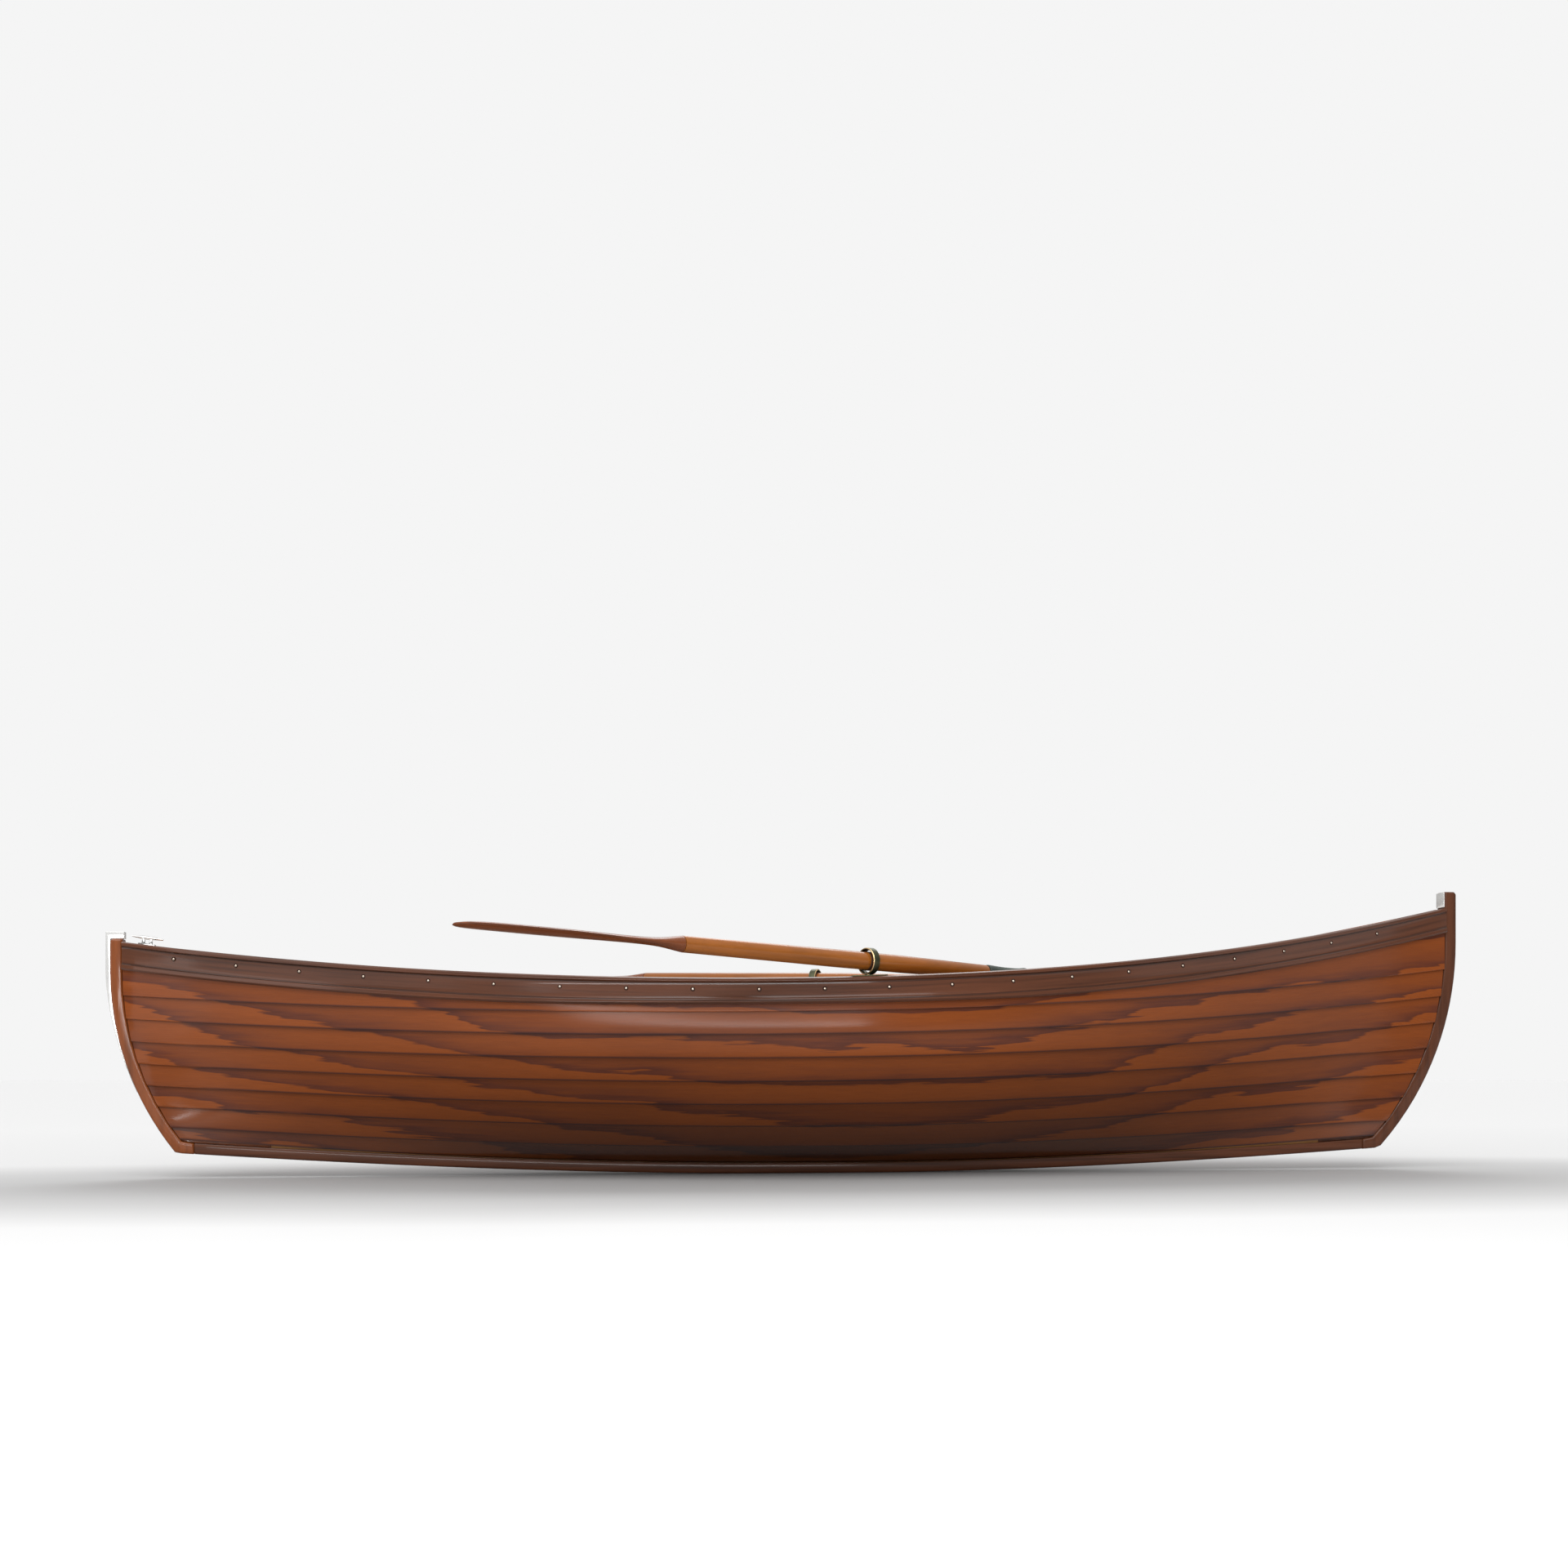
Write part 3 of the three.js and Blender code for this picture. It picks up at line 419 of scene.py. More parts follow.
def varnished_wood(name, tint, contrast, streak, roughness, coat, grooves=()):
    """Straight-grained wood under varnish: long streaks over fine pores, slow changes of tone, and painted
    shade that lies dark in the grooves, which are given as metres across the grain. A streak is the length
    and width of the grain's lines, in millimetres."""
    material, tree = new_finish(name)
    tint = tuple(tint)
    uv = add(tree, "ShaderNodeTexCoord")["UV"]
    noises = []
    for cells, detail in ((streak, 5), ((833.33, 111.11), 2), ((62.5, 1.17647), 4)):
        scale = per_metre(*cells, 1000)
        stretched = add(tree, "ShaderNodeMapping", {"Vector": uv, "Scale": scale, "Location": scale})[0]
        noise = add(tree, "ShaderNodeTexNoise", {"Vector": stretched, "Scale": 1, "Detail": detail})
        noises.append(noise["Fac"])
    grain, slow, pores = noises
    streaks = [(0.28, scaled(tint, 1 - contrast)), (0.5, tint), (0.75, scaled(tint, 1 + 0.45 * contrast))]
    body = add(tree, "ShaderNodeValToRGB", {"Fac": grain}, stops=streaks)[0]
    for noise, share, low, high in (
        (slow, 0.6, (0.72, 0.72, 0.74), (1.2, 1.17, 1.14)),
        (pores, 0.5, (0.7, 0.69, 0.68), (1.05, 1.04, 1.03)),
    ):
        shade = add(tree, "ShaderNodeValToRGB", {"Fac": noise}, stops=[(0.3, low), (0.7, high)])[0]
        shaded = {0: share, 6: body, 7: shade}
        body = add(tree, "ShaderNodeMix", shaded, data_type="RGBA", blend_type="MULTIPLY")[2]
    # Painted shade: each groove darkens towards a fifth of the tint.
    for groove in grooves:
        half_width, depth = 2.6 * MM, 0.62
        across = add(tree, "ShaderNodeSeparateXYZ", {"Vector": uv})["Y"]
        inside = add(tree, "ShaderNodeMath", {0: across, 1: groove, 2: half_width}, operation="COMPARE")[0]
        painted_groove_shade = add(tree, "ShaderNodeMath", {0: inside, 1: depth}, operation="MULTIPLY")[0]
        body = add(tree, "ShaderNodeMix", {0: painted_groove_shade, 6: body, 7: scaled(tint, 0.2)}, data_type="RGBA")[2]
    spread = {"Value": pores, "To Min": roughness - 0.05, "To Max": roughness + 0.08}
    gloss = add(tree, "ShaderNodeMapRange", spread)[0]
    open_grain = {"Height": pores, "Strength": 0.25, "Distance": PORE_DEPTH}
    relief = add(tree, "ShaderNodeBump", open_grain)[0]
    surface = add(tree, "ShaderNodeBsdfPrincipled", {
        "Base Color": body, "Roughness": gloss, "Normal": relief, "Specular IOR Level": 0.15,
        "Coat Weight": coat, "Coat Roughness": 0.1,
    })[0]
    add(tree, "ShaderNodeOutputMaterial", {"Surface": surface})
    return material


def moulded_rubber_grip(tint):
    """Moulded rubber: dull, with a fine pebble that scatters the light, and palm-worn smoother patches."""
    material, tree = new_finish("moulded_rubber_grip")
    tint = tuple(tint)
    pebble_size, patch_size = per_metre(2.381, 45.45)
    place = add(tree, "ShaderNodeTexCoord")["Object"]
    pebble = add(tree, "ShaderNodeTexVoronoi", {"Vector": place, "Scale": pebble_size})["Distance"]
    wear = add(tree, "ShaderNodeTexNoise", {"Vector": place, "Scale": patch_size, "Detail": 4})["Fac"]
    shades = [(0.35, scaled(tint, 0.75)), (0.65, scaled(tint, 1.3))]
    body = add(tree, "ShaderNodeValToRGB", {"Fac": wear}, stops=shades)[0]
    dull = add(tree, "ShaderNodeMapRange", {"Value": wear, "To Min": 0.5, "To Max": 0.8})[0]
    relief = add(tree, "ShaderNodeBump", {"Height": pebble, "Strength": 0.35, "Distance": 0.4 * MM})[0]
    rubber = {"Base Color": body, "Roughness": dull, "Normal": relief}
    surface = add(tree, "ShaderNodeBsdfPrincipled", rubber)[0]
    add(tree, "ShaderNodeOutputMaterial", {"Surface": surface})
    return material


def oiled_leather(tint):
    """Vegetable-tanned leather, oiled: a creased grain with darker hollows."""
    material, tree = new_finish("oiled_leather")
    tint = tuple(tint)
    (crease_size,) = per_metre(2)
    place = add(tree, "ShaderNodeTexCoord")["Object"]
    cells = {"Vector": place, "Scale": crease_size}
    creases = add(tree, "ShaderNodeTexVoronoi", cells, feature="DISTANCE_TO_EDGE")["Distance"]
    hollows = [(0, scaled(tint, 0.5)), (0.12, tint)]
    body = add(tree, "ShaderNodeValToRGB", {"Fac": creases}, stops=hollows)[0]
    relief = add(tree, "ShaderNodeBump", {"Height": creases, "Strength": 0.5, "Distance": 0.4 * MM})[0]
    hide = {"Base Color": body, "Roughness": 0.6, "Normal": relief}
    surface = add(tree, "ShaderNodeBsdfPrincipled", hide)[0]
    add(tree, "ShaderNodeOutputMaterial", {"Surface": surface})
    return material


def metal(name, tint, roughness, patina=0.0, patina_tint="#596150", metallic=1.0):
    """Cast or drawn metal: brushed unevenly, with a patina in blotches where it isn't rubbed bright."""
    material, tree = new_finish(name)
    tint = tuple(tint)
    blotch_size, grit_size = per_metre(16.667, 1.1111)
    place = add(tree, "ShaderNodeTexCoord")["Object"]
    clouds = {"Vector": place, "Scale": blotch_size, "Detail": 5, "Roughness": 0.65}
    cloud = add(tree, "ShaderNodeTexNoise", clouds)["Fac"]
    grit = add(tree, "ShaderNodeTexNoise", {"Vector": place, "Scale": grit_size, "Detail": 2})["Fac"]
    blotches = [(0.35, blend(tint, linear(patina_tint), patina)), (0.65, tint)]
    body = add(tree, "ShaderNodeValToRGB", {"Fac": cloud}, stops=blotches)[0]
    rubbed = {"Value": cloud, "To Min": roughness * 1.4, "To Max": roughness * 0.8}
    brushed = add(tree, "ShaderNodeMapRange", rubbed)[0]
    relief = add(tree, "ShaderNodeBump", {"Height": grit, "Strength": 0.1, "Distance": 0.1 * MM})[0]
    surface = add(tree, "ShaderNodeBsdfPrincipled", {
        "Base Color": body, "Metallic": metallic, "Roughness": brushed, "Normal": relief,
    })[0]
    add(tree, "ShaderNodeOutputMaterial", {"Surface": surface})
    return material


def make_finishes(colours):
    """Every material of the boat, by the name its operators ask for."""
    return {
        # broad flames in red-orange wood under a clear gloss
        "planks": varnished_mahogany_planks(colours),
        # close dark streaks under old varnish, satin on the keel and stem
        "trim": varnished_wood(
            "varnished_dark_mahogany_trim", colours.trim,
            contrast=0.42, streak=(400, 11.1111), roughness=0.36, coat=0.3,
        ),
        # the same wood, glossier, with a line of painted shade in the groove beside each bead of the outwale
        "moulding": varnished_wood(
            "varnished_dark_mahogany_moulding", colours.trim,
            contrast=0.42, streak=(400, 11.1111), roughness=0.3, coat=0.5, grooves=OUTWALE_GROOVES,
        ),
        # painted shade: nearly black wood in a ring round each bright rivet
        "countersink_shade": varnished_wood(
            "shadowed_countersink", scaled(colours.trim, 0.35),
            contrast=0.2, streak=(400, 11.1111), roughness=0.5, coat=0.1,
        ),
        # warm red wood that glows beside the stern band
        "post": varnished_wood(
            "varnished_red_mahogany_post", colours.post,
            contrast=0.35, streak=(333.333, 16.6667), roughness=0.3, coat=0.5,
        ),
        # honey-coloured and nearly matt
        "interior": varnished_wood(
            "oiled_ash_interior", colours.interior,
            contrast=0.4, streak=(454.545, 18.1818), roughness=0.42, coat=0.25,
        ),
        # pale amber with fine straight lines
        "oar": varnished_wood(
            "varnished_spruce_loom", colours.oar,
            contrast=0.3, streak=(384.615, 12.5), roughness=0.32, coat=0.35,
        ),
        # the same spruce, browner where water has worked on it
        "blade": varnished_wood(
            "varnished_spruce_blade", colours.blade,
            contrast=0.35, streak=(384.615, 16.6667), roughness=0.32, coat=0.35,
        ),
        "grip": moulded_rubber_grip(colours.grip),
        "leather": oiled_leather(colours.leather),
        # dull olive brown that is nearly black in its hollows
        "bronze": metal("patinated_cast_bronze", colours.bronze, 0.38, 0.5),
        # pale gold where the oar rubs it
        "bright_bronze": metal("rubbed_bright_bronze", colours.bright_bronze, 0.24),
        # a soft white sheen that keeps light from behind
        "nickel": metal("polished_nickel", colours.nickel, 0.12, 0.15, "#BCBFBC", metallic=0.5),
        # sharp reflections between dark smudges
        "bright_nickel": metal("bright_nickel_cleat", colours.nickel, 0.1, 0.5, "#595959"),
        # pinkish brown, a little tarnished
        "copper": metal("copper_rove", colours.copper, 0.35, 0.4, "#7C6150"),
        # a small clear glint
        "rivet": metal("polished_rivet_head", colours.rivet, 0.2),
    }


FINISHES = {}


def finish_named(name):
    """One finish, all of which are made when the first is asked for."""
    if not FINISHES:
        FINISHES.update(make_finishes(bpy.context.scene.canoe_colours))
    return FINISHES[name]


# ---------------------------------------------------------------- operators: hull


def athwart(places):
    return places[:, 1]


def lengthwise(places):
    return places[:, 0]


def upwards(places):
    return places[:, 2]


def across_and_up(places):
    return places[:, 1] + places[:, 2]


class CANOE_OT_planking(bpy.types.Operator):
    """Sixteen lapped mahogany strakes with rounded edges, grained along each plank"""

    bl_idname = "canoe.planking"
    bl_label = "Planking"

    def execute(self, context):
        edge = context.scene.canoe_sizes.plank_edge
        for number, (strake, tone) in enumerate(zip(STRAKES, PLANK_SHADES)):
            for side in SIDES:
                node = f"{strake}_{side}"
                piece = bench_copy(node)
                stations, widths, heights = edge_line(node, lowest=True)

                def slid_along(places):
                    return places[:, 0] + number * PLANK_SLIDE

                def from_lower_edge(places):
                    across = np.abs(places[:, 1]) - follow(stations, widths, places[:, 0])
                    up = places[:, 2] - follow(stations, heights, places[:, 0])
                    return np.hypot(across, up) + number * PLANK_SHIFT

                smooth_lengthwise(piece)
                round_edges(piece, edge)
                lay_grain(piece, slid_along, from_lower_edge)
                # the plank's tone: its share of painted shade
                set_painted_shade(piece, tone)
                finish_piece(piece, "hull", "planks", finish_named("planks"), node)
        return {"FINISHED"}


class CANOE_OT_backbone(bpy.types.Operator):
    """Keel, inner keel, stem and sternpost"""

    bl_idname = "canoe.backbone"
    bl_label = "Backbone"

    broaden = 0.6  # share of fore-and-aft distance that counts, so that the posts' sides show broader grain

    def execute(self, context):
        sizes = context.scene.canoe_sizes
        for node, finish in (("keel", "trim"), ("hog", "interior")):
            piece = bench_copy(node)
            smooth_lengthwise(piece, levels=1)
            round_edges(piece, sizes.trim_edge)
            lay_grain(piece, lengthwise, across_and_up)
            finish_piece(piece, "hull", finish, finish_named(finish), node)
        for node, finish, edge in (("stem", "trim", sizes.trim_edge), ("sternpost", "post", sizes.post_edge)):
            piece = bench_copy(node)
            join_flat_faces(piece)
            round_edges(piece, edge, segments=3)
            lay_grain(piece, upwards, lambda places: self.broaden * places[:, 0] + places[:, 1])
            finish_piece(piece, "hull", finish, finish_named(finish), node)
        return {"FINISHED"}


class CANOE_OT_gunwales(bpy.types.Operator):
    """Moulded outwales, inwales, seat risers and the knees that tie them at both ends"""

    bl_idname = "canoe.gunwales"
    bl_label = "Gunwales"

    def execute(self, context):
        edge = context.scene.canoe_sizes.trim_edge
        for kind, finish in (("outwale", "moulding"), ("inwale", "interior"), ("seat_riser", "interior")):
            for side in SIDES:
                node = f"{kind}_{side}"
                piece = bench_copy(node)
                stations, _, tops = edge_line(node, lowest=False, ring_points=4)

                def below_top(places):
                    return follow(stations, tops, places[:, 0]) - places[:, 2]

                if kind != "inwale":
                    smooth_lengthwise(piece)
                round_edges(piece, 0.6 * edge)
                lay_grain(piece, lengthwise, below_top)
                slot = "trim" if kind == "outwale" else "interior"
                finish_piece(piece, "hull", slot, finish_named(finish), node)
        for node in ("breasthook_bow", "breasthook_stern"):
            piece = bench_copy(node)
            round_edges(piece, edge)
            lay_grain(piece, athwart, lengthwise)
            finish_piece(piece, "hull", "interior", finish_named("interior"), node)
        return {"FINISHED"}


RIB_RING = 4  # points in each ring round a rib
RIB_RINGS = 18  # rings from sheer to sheer, one at each edge of a plank
RIB_CENTRE_RISE = 0.05  # metres above a rib's top to the point that its rings are sorted round


def sorted_rib(mesh):
    """Indices of a rib's points: rings from starboard sheer to port, outer then inner, aft then fore."""
    places = vertex_places(mesh)
    if len(places) != RIB_RING * RIB_RINGS:
        raise RuntimeError(f"a rib has {len(places)} points")
    centre = places[:, 2].max() + RIB_CENTRE_RISE
    turn = np.arctan2(places[:, 1], centre - places[:, 2])
    order = np.argsort(turn).reshape(RIB_RINGS, RIB_RING)
    rings = []
    for ring in order:
        away = np.hypot(places[ring, 1], centre - places[ring, 2])
        outer, inner = ring[np.argsort(-away)[:2]], ring[np.argsort(-away)[2:]]
        rings.append([*outer[np.argsort(places[outer, 0])], *inner[np.argsort(places[inner, 0])]])
    return np.array(rings)


def rib_between(shapes, i):
    """A rib's shape midway from rib i to the next: on a cubic through four ribs, or a parabola at an end."""
    if 0 < i < len(shapes) - 2:
        return (9 * (shapes[i] + shapes[i + 1]) - shapes[i - 1] - shapes[i + 2]) / 16
    near, middle, far = shapes[:3] if i == 0 else shapes[:-4:-1]
    return (3 * near + 6 * middle - far) / 8


def round_rib(places):
    """The way round a rib, uneven from side to side so that its grain isn't mirrored."""
    return places[:, 1] * 0.8 + np.abs(places[:, 1]) * 0.2 + places[:, 2]


class CANOE_OT_ribs(bpy.types.Operator):
    """Steam-bent ribs, one every half spacing, and the copper roves that clench the laps to them"""

    bl_idname = "canoe.ribs"
    bl_label = "Ribs"

    def execute(self, context):
        blanks = [bench_copy(node) for node in CAD_RIBS]
        orders = [sorted_rib(blank.data) for blank in blanks]
        shapes = [vertex_places(blank.data)[order] for blank, order in zip(blanks, orders)]
        all_shapes = list(shapes)
        pieces = [(blank, [node]) for blank, node in zip(blanks, CAD_RIBS)]
        for i in range(len(shapes) - 1):
            between = blanks[i].copy()
            between.data = blanks[i].data.copy()
            between.name = f"half_rib_{i + 1}"
            context.scene.collection.objects.link(between)
            shape = rib_between(shapes, i)
            places = vertex_places(between.data)
            places[orders[i]] = shape
            between.data.vertices.foreach_set("co", places.ravel())
            between.data.update()
            all_shapes.append(shape)
            pieces.append((between, []))
        for piece, nodes in pieces:
            smooth_lengthwise(piece, levels=1)
            round_edges(piece, context.scene.canoe_sizes.rib_edge)
            lay_grain(piece, round_rib, lengthwise)
            finish_piece(piece, "hull", "interior", finish_named("interior"), *nodes)
        self.add_roves(context, all_shapes)
        return {"FINISHED"}

    def add_roves(self, context, shapes):
        """A domed copper rove on each rib at every lap, just below the plank's edge and let in a little."""
        radius = context.scene.canoe_sizes.rove_radius
        below_edge, let_in = 9 * MM, 0.2 * MM
        half = RIB_RINGS // 2
        laps = [*range(1, half - 1), *range(half + 1, RIB_RINGS - 1)]
        spots = []
        for shape in shapes:
            inner = shape[:, 2:].mean(axis=1)
            for ring in laps:
                lower = ring + 1 if ring < half else ring - 1
                run = inner[lower] - inner[ring]
                spot = inner[ring] + run / np.linalg.norm(run) * below_edge
                side = math.copysign(1, inner[ring][1])
                normal = Vector((0, run[2] * side, -run[1] * side)).normalized()
                if normal.y * side > 0:
                    normal.negate()
                spots.append(facing(Vector(spot) - normal * let_in, normal))
        height = 0.5 * radius
        bpy.ops.object.select_all(action="DESELECT")
        bpy.ops.mesh.primitive_cone_add(
            vertices=8, radius1=radius, radius2=0.45 * radius, depth=height, location=(0, 0, height / 2)
        )
        model = context.object
        bpy.ops.object.transform_apply(location=True)
        bpy.ops.object.shade_smooth_by_angle(angle=math.radians(50))
        roves = join_copies(model, "copper_roves", spots)
        finish_piece(roves, "hull", "bronze", finish_named("copper"))


class CANOE_OT_seats_and_floor(bpy.types.Operator):
    """Thwarts, floorboards, the foot stretcher and its chocks"""

    bl_idname = "canoe.seats_and_floor"
    bl_label = "Seats and floor"

    def execute(self, context):
        edge = context.scene.canoe_sizes.seat_edge
        for node in ("stern_thwart", "centre_thwart", "bow_thwart", "foot_stretcher"):
            piece = bench_copy(node)
            join_flat_faces(piece)
            round_edges(piece, edge, segments=4)
            lay_grain(piece, athwart, lambda places: places[:, 0] + places[:, 2])
            finish_piece(piece, "hull", "interior", finish_named("interior"), node)
        for node in ("floorboard_centre", "floorboard_starboard", "floorboard_port"):
            piece = bench_copy(node)
            smooth_lengthwise(piece, levels=1)
            round_edges(piece, 0.5 * edge, segments=3)
            lay_grain(piece, lengthwise, across_and_up)
            finish_piece(piece, "hull", "interior", finish_named("interior"), node)
        self.add_chocks(context)
        return {"FINISHED"}

    def add_chocks(self, context):
        """Rounded chocks that hold the foot stretcher, one behind each end, on the side floorboards."""
        size = Vector((60, 22, 24)) * MM
        inset, gap, above = 45 * MM, 1 * MM, 0.5 * MM
        start_height = 0.5
        places = vertex_places(frame["nodes"]["foot_stretcher"].data)
        low, high = places.min(axis=0), places.max(axis=0)
        floor = solid_of(*CAD_RIBS, "floorboard_port", "floorboard_starboard")
        for side, sign in SIDES.items():
            bpy.ops.object.select_all(action="DESELECT")
            bpy.ops.mesh.primitive_cube_add(size=1)
            chock = context.object
            chock.name = f"stretcher_chock_{side}"
            bpy.ops.transform.resize(value=size)
            bpy.ops.object.transform_apply(scale=True)
            y = sign * (high[1] - inset)
            start = Vector((low[0] - gap - 0.55 * size.x, y, start_height))
            board, _, _, _ = floor.ray_cast(start, Vector((0, 0, -1)))
            if board is None:
                raise RuntimeError(f"nothing under {chock.name}")
            middle = (low[0] - gap - size.x / 2, y, board.z + size.z / 2 + above)
            chock.data.transform(Matrix.Translation(middle))
            round_edges(chock, 3 * MM, segments=3)
            lay_grain(chock, lengthwise, across_and_up)
            finish_piece(chock, "hull", "interior", finish_named("interior"))


# ---------------------------------------------------------------- operators: fittings


class CANOE_OT_gunwale_rivets(bpy.types.Operator):
    """Domed rivet heads, each in a dark ring of painted shade, along both outwales, and nails through the
    planks' ends
    """

    bl_idname = "canoe.gunwale_rivets"
    bl_label = "Gunwale rivets"

    run = 0.9745  # how far along the boat's middle line a metre of the curved gunwale gets
    row_aft = 55 * MM  # from amidships to the row's middle
    nail_inset = 22 * MM  # from a plank's end
    nail_heights = (-0.1, 0.45)  # of a plank's half-height at its end

    def execute(self, context):
        sizes = context.scene.canoe_sizes
        step = sizes.rivet_pitch * self.run
        first = -0.5 * (sizes.rivet_count - 1) * step - self.row_aft
        for side, sign in SIDES.items():
            node = f"outwale_{side}"
            wood = solid_of(node)
            stations, _, tops = edge_line(node, lowest=False, ring_points=8)
            spots = []
            for i in range(sizes.rivet_count):
                x = first + i * step
                height = float(follow(stations, tops, x)) - sizes.rivet_drop
                place, normal, _, _ = wood.ray_cast(Vector((x, sign, height)), Vector((0, -sign, 0)))
                if place is None:
                    raise RuntimeError(f"no outwale at {x:.3f}")
                spots.append(facing(place, normal))
            head = self.head(context, sizes.rivet_radius)
            heads = join_copies(head, f"rivet_heads_{side}", spots)
            finish_piece(heads, "hull", "nickel", finish_named("rivet"))
            # painted shade: a dark ring round each rivet head
            ring = self.countersink_shade(context, sizes.rivet_radius)
            rings = join_copies(ring, f"rivet_shade_rings_{side}", spots)
            finish_piece(rings, "hull", "trim", finish_named("countersink_shade"))
            nail = self.head(context, 0.6 * sizes.rivet_radius)
            nails = join_copies(nail, f"hood_nails_{side}", self.hood_ends(side))
            finish_piece(nails, "hull", "bronze", finish_named("bronze"))
        return {"FINISHED"}

    def hood_ends(self, side):
        """Places of the two nails through each plank's end at the stem and at the sternpost."""
        spots = []
        for strake in STRAKES:
            node = f"{strake}_{side}"
            plank = solid_of(node)
            places = vertex_places(frame["nodes"][node].data)
            for end in (1, -1):
                tip = places[np.argsort(-end * places[:, 0])[:8]]
                middle, half = tip[:, 2].mean(), 0.5 * np.ptp(tip[:, 2])
                for up in self.nail_heights:
                    reach = tip[:, 0].mean() - end * self.nail_inset
                    start = Vector((reach, SIDES[side], middle + up * half))
                    place, normal, _, _ = plank.ray_cast(start, Vector((0, -SIDES[side], 0)))
                    if place is not None:
                        spots.append(facing(place, normal))
        return spots

    def head(self, context, radius):
        """A low dome, narrower than the radius of its hole."""
        bpy.ops.object.select_all(action="DESELECT")
        bpy.ops.mesh.primitive_uv_sphere_add(segments=12, ring_count=8, radius=radius)
        model = context.object
        bpy.ops.transform.resize(value=(0.72, 0.72, 0.42))
        bpy.ops.object.transform_apply(scale=True)
        bpy.ops.object.shade_smooth()
        return model

    def countersink_shade(self, context, radius):
        """A flattened ring round a head, which carries painted shade."""
        bpy.ops.object.select_all(action="DESELECT")
        bpy.ops.mesh.primitive_torus_add(
            major_segments=16, minor_segments=6, major_radius=0.98 * radius, minor_radius=0.24 * radius
        )
        model = context.object
        bpy.ops.transform.resize(value=(1, 1, 0.5))
        bpy.ops.object.transform_apply(scale=True)
        bpy.ops.object.shade_smooth()
        return model


class CANOE_OT_end_fittings(bpy.types.Operator):
    """Polished stern band, horn cleat and stem plate"""

    bl_idname = "canoe.end_fittings"
    bl_label = "End fittings"

    def execute(self, context):
        edge = context.scene.canoe_sizes.metal_edge
        for node in ("stern_band", "stern_cleat", "stem_head_plate"):
            piece = bench_copy(node)
            if node != "stern_cleat":
                join_flat_faces(piece)
            round_edges(piece, edge, segments=3)
            finish = "bright_nickel" if node == "stern_cleat" else "nickel"
            finish_piece(piece, "hull", "nickel", finish_named(finish), node)
        return {"FINISHED"}


class CANOE_OT_rowlocks(bpy.types.Operator):
    """Ring rowlocks with worn bright rims, on socket plates with countersunk screws"""

    bl_idname = "canoe.rowlocks"
    bl_label = "Rowlocks"

    def execute(self, context):
        edge = context.scene.canoe_sizes.metal_edge
        for side in SIDES:
            plate = bench_copy(f"rowlock_socket_{side}")
            join_flat_faces(plate)
            round_edges(plate, 0.6 * edge, segments=2)
            finish_piece(plate, "hull", "bronze", finish_named("bronze"), f"rowlock_socket_{side}")
            self.add_screws(context, side)
            node = f"rowlock_{side}"
            ring = bench_copy(node)
            round_edges(ring, edge, segments=3)
            finish_piece(ring, f"rowlock_{side}", "bronze", finish_named("bronze"), node)
            self.brighten_rims(ring, side)
        return {"FINISHED"}

    def add_screws(self, context, side):
        """Four slotted screw heads, flush in the corners of the socket plate."""
        node = f"rowlock_socket_{side}"
        places = vertex_places(frame["nodes"][node].data)
        low, high = places.min(axis=0), places.max(axis=0)
        plate = solid_of(node)
        spots = []
        along, aside, let_in = 11 * MM, 10 * MM, 0.3 * MM
        for x in (low[0] + along, high[0] - along):
            for y in (low[1] + aside, high[1] - aside):
                place, normal, _, _ = plate.ray_cast(Vector((x, y, 1)), Vector((0, 0, -1)))
                as_driven = 40 * x + 9 * y  # each slot ends up another way
                spots.append(facing(place - normal * let_in, normal, turn=as_driven))
        bpy.ops.object.select_all(action="DESELECT")
        thickness = 1.2 * MM
        bpy.ops.mesh.primitive_cylinder_add(vertices=20, radius=4.4 * MM, depth=thickness)
        head = context.object
        bpy.ops.mesh.primitive_cube_add(size=1)
        slot = context.object
        bpy.ops.transform.resize(value=(12 * MM, 1.1 * MM, 0.9 * MM))
        bpy.ops.transform.translate(value=(0, 0, thickness / 2))
        bpy.ops.object.transform_apply(location=True, scale=True)
        apply_modifier(head, "BOOLEAN", object=slot, operation="DIFFERENCE")
        bpy.data.objects.remove(slot)
        round_edges(head, 0.2 * MM)
        screws = join_copies(head, f"socket_screws_{side}", spots)
        finish_piece(screws, "hull", "bronze", finish_named("bright_bronze"))

    def brighten_rims(self, ring, side):
        """Gives the ring's two flat faces, rubbed by the oar, the bright finish."""
        rim_reach, facing_along = 38 * MM, 0.55
        joint = feather_joint(side)
        along = Vector((joint["axis"][0], joint["axis"][1], 0)).normalized()
        centre = Vector(joint["pos_m"])
        ring.data.materials.append(finish_named("bright_bronze"))
        for face in ring.data.polygons:
            if abs(face.normal.dot(along)) > facing_along and (face.center - centre).length < rim_reach:
                face.material_index = 1


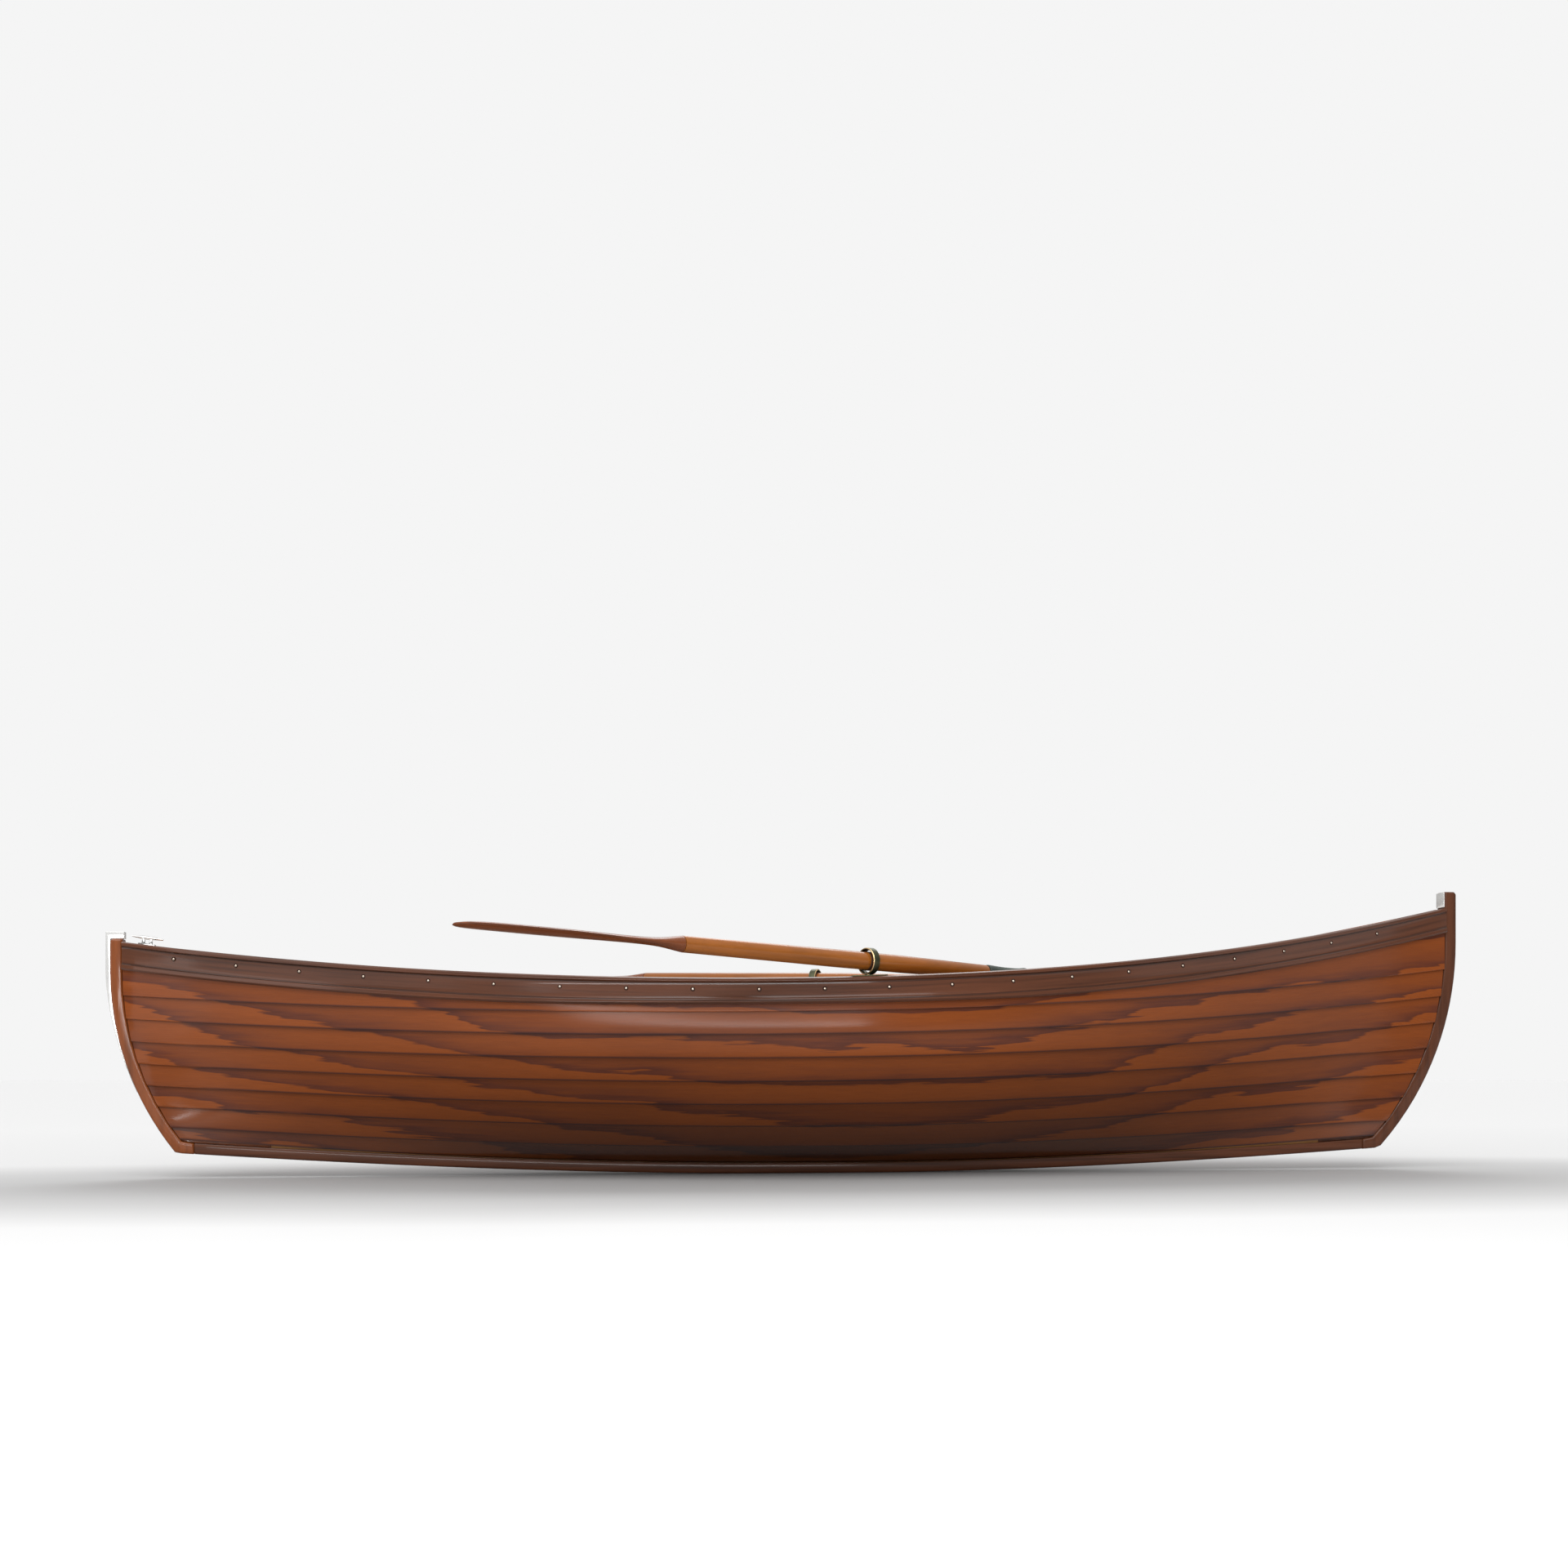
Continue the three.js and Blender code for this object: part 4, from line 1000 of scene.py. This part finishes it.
class CANOE_OT_oars(bpy.types.Operator):
    """A pair of spruce oars with leather collars and rubber grips"""

    bl_idname = "canoe.oars"
    bl_label = "Oars"

    lean = 0.4  # share of the height that counts across the grain, so that an oar's sides show it too

    def execute(self, context):
        sizes = context.scene.canoe_sizes
        for side in SIDES:
            joint = feather_joint(side)
            along, centre = np.array(joint["axis"]), np.array(joint["pos_m"])
            flat = np.cross((0, 0, 1), along)
            flat /= np.linalg.norm(flat)

            def down_oar(places):
                return (places - centre) @ along

            def over_oar(places):
                return (places - centre) @ flat + self.lean * (places[:, 2] - centre[2])

            for part, finish, levels in (("loom", "oar", 0), ("blade", "blade", 2), ("grip", "grip", 1)):
                node = f"oar_{part}_{side}"
                piece = bench_copy(node)
                if levels:
                    smooth_lengthwise(piece, levels, degrees=50)
                round_edges(piece, sizes.oar_edge, degrees=35)
                lay_grain(piece, down_oar, over_oar)
                finish_piece(piece, f"oar_{side}", finish, finish_named(finish), node)
            node = f"oar_leather_{side}"
            piece = bench_copy(node)
            round_edges(piece, sizes.leather_edge)
            finish_piece(piece, f"leather_{side}", "leather", finish_named("leather"), node)
        return {"FINISHED"}


# ---------------------------------------------------------------- stage


def area_light(name, place, target, size, power):
    """A rectangular softbox, its power in watts, turned to face the target."""
    data = bpy.data.lights.new(name, "AREA")
    data.shape = "RECTANGLE"
    data.size, data.size_y = size
    data.energy = power
    light = bpy.data.objects.new(name, data)
    bpy.context.scene.collection.objects.link(light)
    aim = (Vector(target) - Vector(place)).to_track_quat("-Z", "Y")
    light.matrix_world = Matrix.Translation(place) @ aim.to_matrix().to_4x4()


def sun_light(name, towards, spread, strength):
    """Even light from one side of the sky, which falls the same on the whole floor."""
    data = bpy.data.lights.new(name, "SUN")
    data.angle = math.radians(spread)
    data.energy = strength
    light = bpy.data.objects.new(name, data)
    bpy.context.scene.collection.objects.link(light)
    light.matrix_world = Vector(towards).to_track_quat("Z", "Y").to_matrix().to_4x4()


class CANOE_OT_stage(bpy.types.Operator):
    """Pale floor that runs out into a grey backdrop, soft studio lights and the camera"""

    bl_idname = "canoe.stage"
    bl_label = "Stage"

    def execute(self, context):
        self.add_floor(context)
        self.add_lights()
        self.add_sky(context)
        self.add_camera(context)
        context.scene.view_settings.view_transform = "Standard"
        return {"FINISHED"}

    def add_lights(self):
        """Two even suns, a long softbox for the sheen under the gunwale, a low one for the sheer strake's
        highlight and a small one for the sternpost."""
        sun_light("overhead_front", towards=(-0.35, -0.75, 1.0), spread=60, strength=1.5)
        sun_light("overhead_back", towards=(0.2, 0.9, 1.0), spread=35, strength=0.9)
        for name, place, target, size, power in (
            ("softbox_front", (-0.6, -4.2, 2.6), (0, 0, 0.45), (5.0, 0.9), 45),
            ("softbox_low", (-1.3, -7.0, 0.95), (-1.3, 0, 0.5), (5.4, 0.34), 84),
            ("softbox_stern", (-5.0, -3.5, 1.0), (-1.9, 0, 0.5), (1.6, 1.6), 12),
        ):
            area_light(name, place, target, size, power)

    def add_camera(self, context):
        """A camera just below the gunwale's height, abeam and a little aft of amidships."""
        camera_data = bpy.data.cameras.new("camera")
        camera_data.sensor_width = 36
        camera_data.lens = 39.32
        camera_data.shift_y = 0.1875  # the boat lies a little below the middle of a square frame
        camera = bpy.data.objects.new("camera", camera_data)
        context.scene.collection.objects.link(camera)
        camera.location = (-0.80, -5.0, 0.28)
        camera.rotation_euler = (math.radians(90), 0, math.radians(-8))
        context.scene.camera = camera

    def add_sky(self, context):
        """Light from all round that is strongest overhead, behind a backdrop of one pale grey."""
        world = bpy.data.worlds.new("studio")
        context.scene.world = world
        world.use_nodes = True
        tree = world.node_tree
        tree.nodes.clear()
        direction = add(tree, "ShaderNodeTexCoord")["Generated"]
        height = add(tree, "ShaderNodeSeparateXYZ", {"Vector": direction})["Z"]
        greys = [(0, "#959595"), (0.3, "#9E9E9E"), (0.62, "#EDEDED"), (1, "#FFFFFF")]
        stops = [(share, linear(text)) for share, text in greys]
        glow = add(tree, "ShaderNodeValToRGB", {"Fac": height}, stops=stops)[0]
        seen = add(tree, "ShaderNodeLightPath")["Is Camera Ray"]
        sky = add(tree, "ShaderNodeMix", {0: seen, 6: glow, 7: linear("#F5F5F5")}, data_type="RGBA")[2]
        background = add(tree, "ShaderNodeBackground", {"Color": sky, "Strength": 1})[0]
        add(tree, "ShaderNodeOutputWorld", {"Surface": background})

    def add_floor(self, context):
        """Matt paper: soft white with a painted shadow that darkens it under and round the boat."""
        bpy.ops.object.select_all(action="DESELECT")
        bpy.ops.mesh.primitive_plane_add(size=400)
        floor = context.object
        floor.name = "floor"
        material, tree = new_finish("matt_paper_floor_painted_shadow")
        place = add(tree, "ShaderNodeTexCoord")["Object"]
        reach = 5.0  # metres abeam to the last stop
        stretch = 0.3  # the painted shadow is longer along the boat than across it
        aside = 0.4  # metres that its middle lies to starboard
        scale = (stretch / reach, 1 / reach, 1 / reach)
        shade = {"Vector": place, "Location": (0, aside / reach, 0), "Scale": scale}
        shadow_pool = add(tree, "ShaderNodeMapping", shade)[0]
        away = add(tree, "ShaderNodeVectorMath", {0: shadow_pool}, operation="LENGTH")["Value"]
        # painted shadow: darkest near the boat, paler further out
        greys = [(0, "#9E9E9E"), (0.08, "#A0A0A0"), (0.18, "#B5B5B5"), (0.27, "#CDCDCD"), (1, "#D4D4D4")]
        stops = [(share, linear(text)) for share, text in greys]
        paper_with_painted_shadow = add(tree, "ShaderNodeValToRGB", {"Fac": away}, stops=stops)[0]
        surface = add(tree, "ShaderNodeBsdfPrincipled", {"Base Color": paper_with_painted_shadow, "Roughness": 0.9})[0]
        add(tree, "ShaderNodeOutputMaterial", {"Surface": surface})
        floor.data.materials.append(material)


# ---------------------------------------------------------------- panel and registration

OPERATORS = (
    CANOE_OT_planking,
    CANOE_OT_backbone,
    CANOE_OT_gunwales,
    CANOE_OT_ribs,
    CANOE_OT_seats_and_floor,
    CANOE_OT_gunwale_rivets,
    CANOE_OT_end_fittings,
    CANOE_OT_rowlocks,
    CANOE_OT_oars,
    CANOE_OT_stage,
)


class CANOE_PT_panel(bpy.types.Panel):
    bl_idname = "CANOE_PT_panel"
    bl_label = "Rowing canoe"
    bl_space_type = "VIEW_3D"
    bl_region_type = "UI"
    bl_category = "Canoe"

    def draw(self, context):
        for operator in OPERATORS:
            self.layout.operator(operator.bl_idname)


CLASSES = (CanoeSizes, CanoeColours, *OPERATORS, CANOE_PT_panel)


def register():
    for cls in CLASSES:
        bpy.utils.register_class(cls)
    bpy.types.Scene.canoe_sizes = PointerProperty(type=CanoeSizes)
    bpy.types.Scene.canoe_colours = PointerProperty(type=CanoeColours)


def unregister():
    del bpy.types.Scene.canoe_colours
    del bpy.types.Scene.canoe_sizes
    for cls in reversed(CLASSES):
        bpy.utils.unregister_class(cls)


def main():
    register()
    for operator in OPERATORS:
        getattr(bpy.ops.canoe, operator.bl_idname.split(".")[1])()


if __name__ == "__main__":
    main()
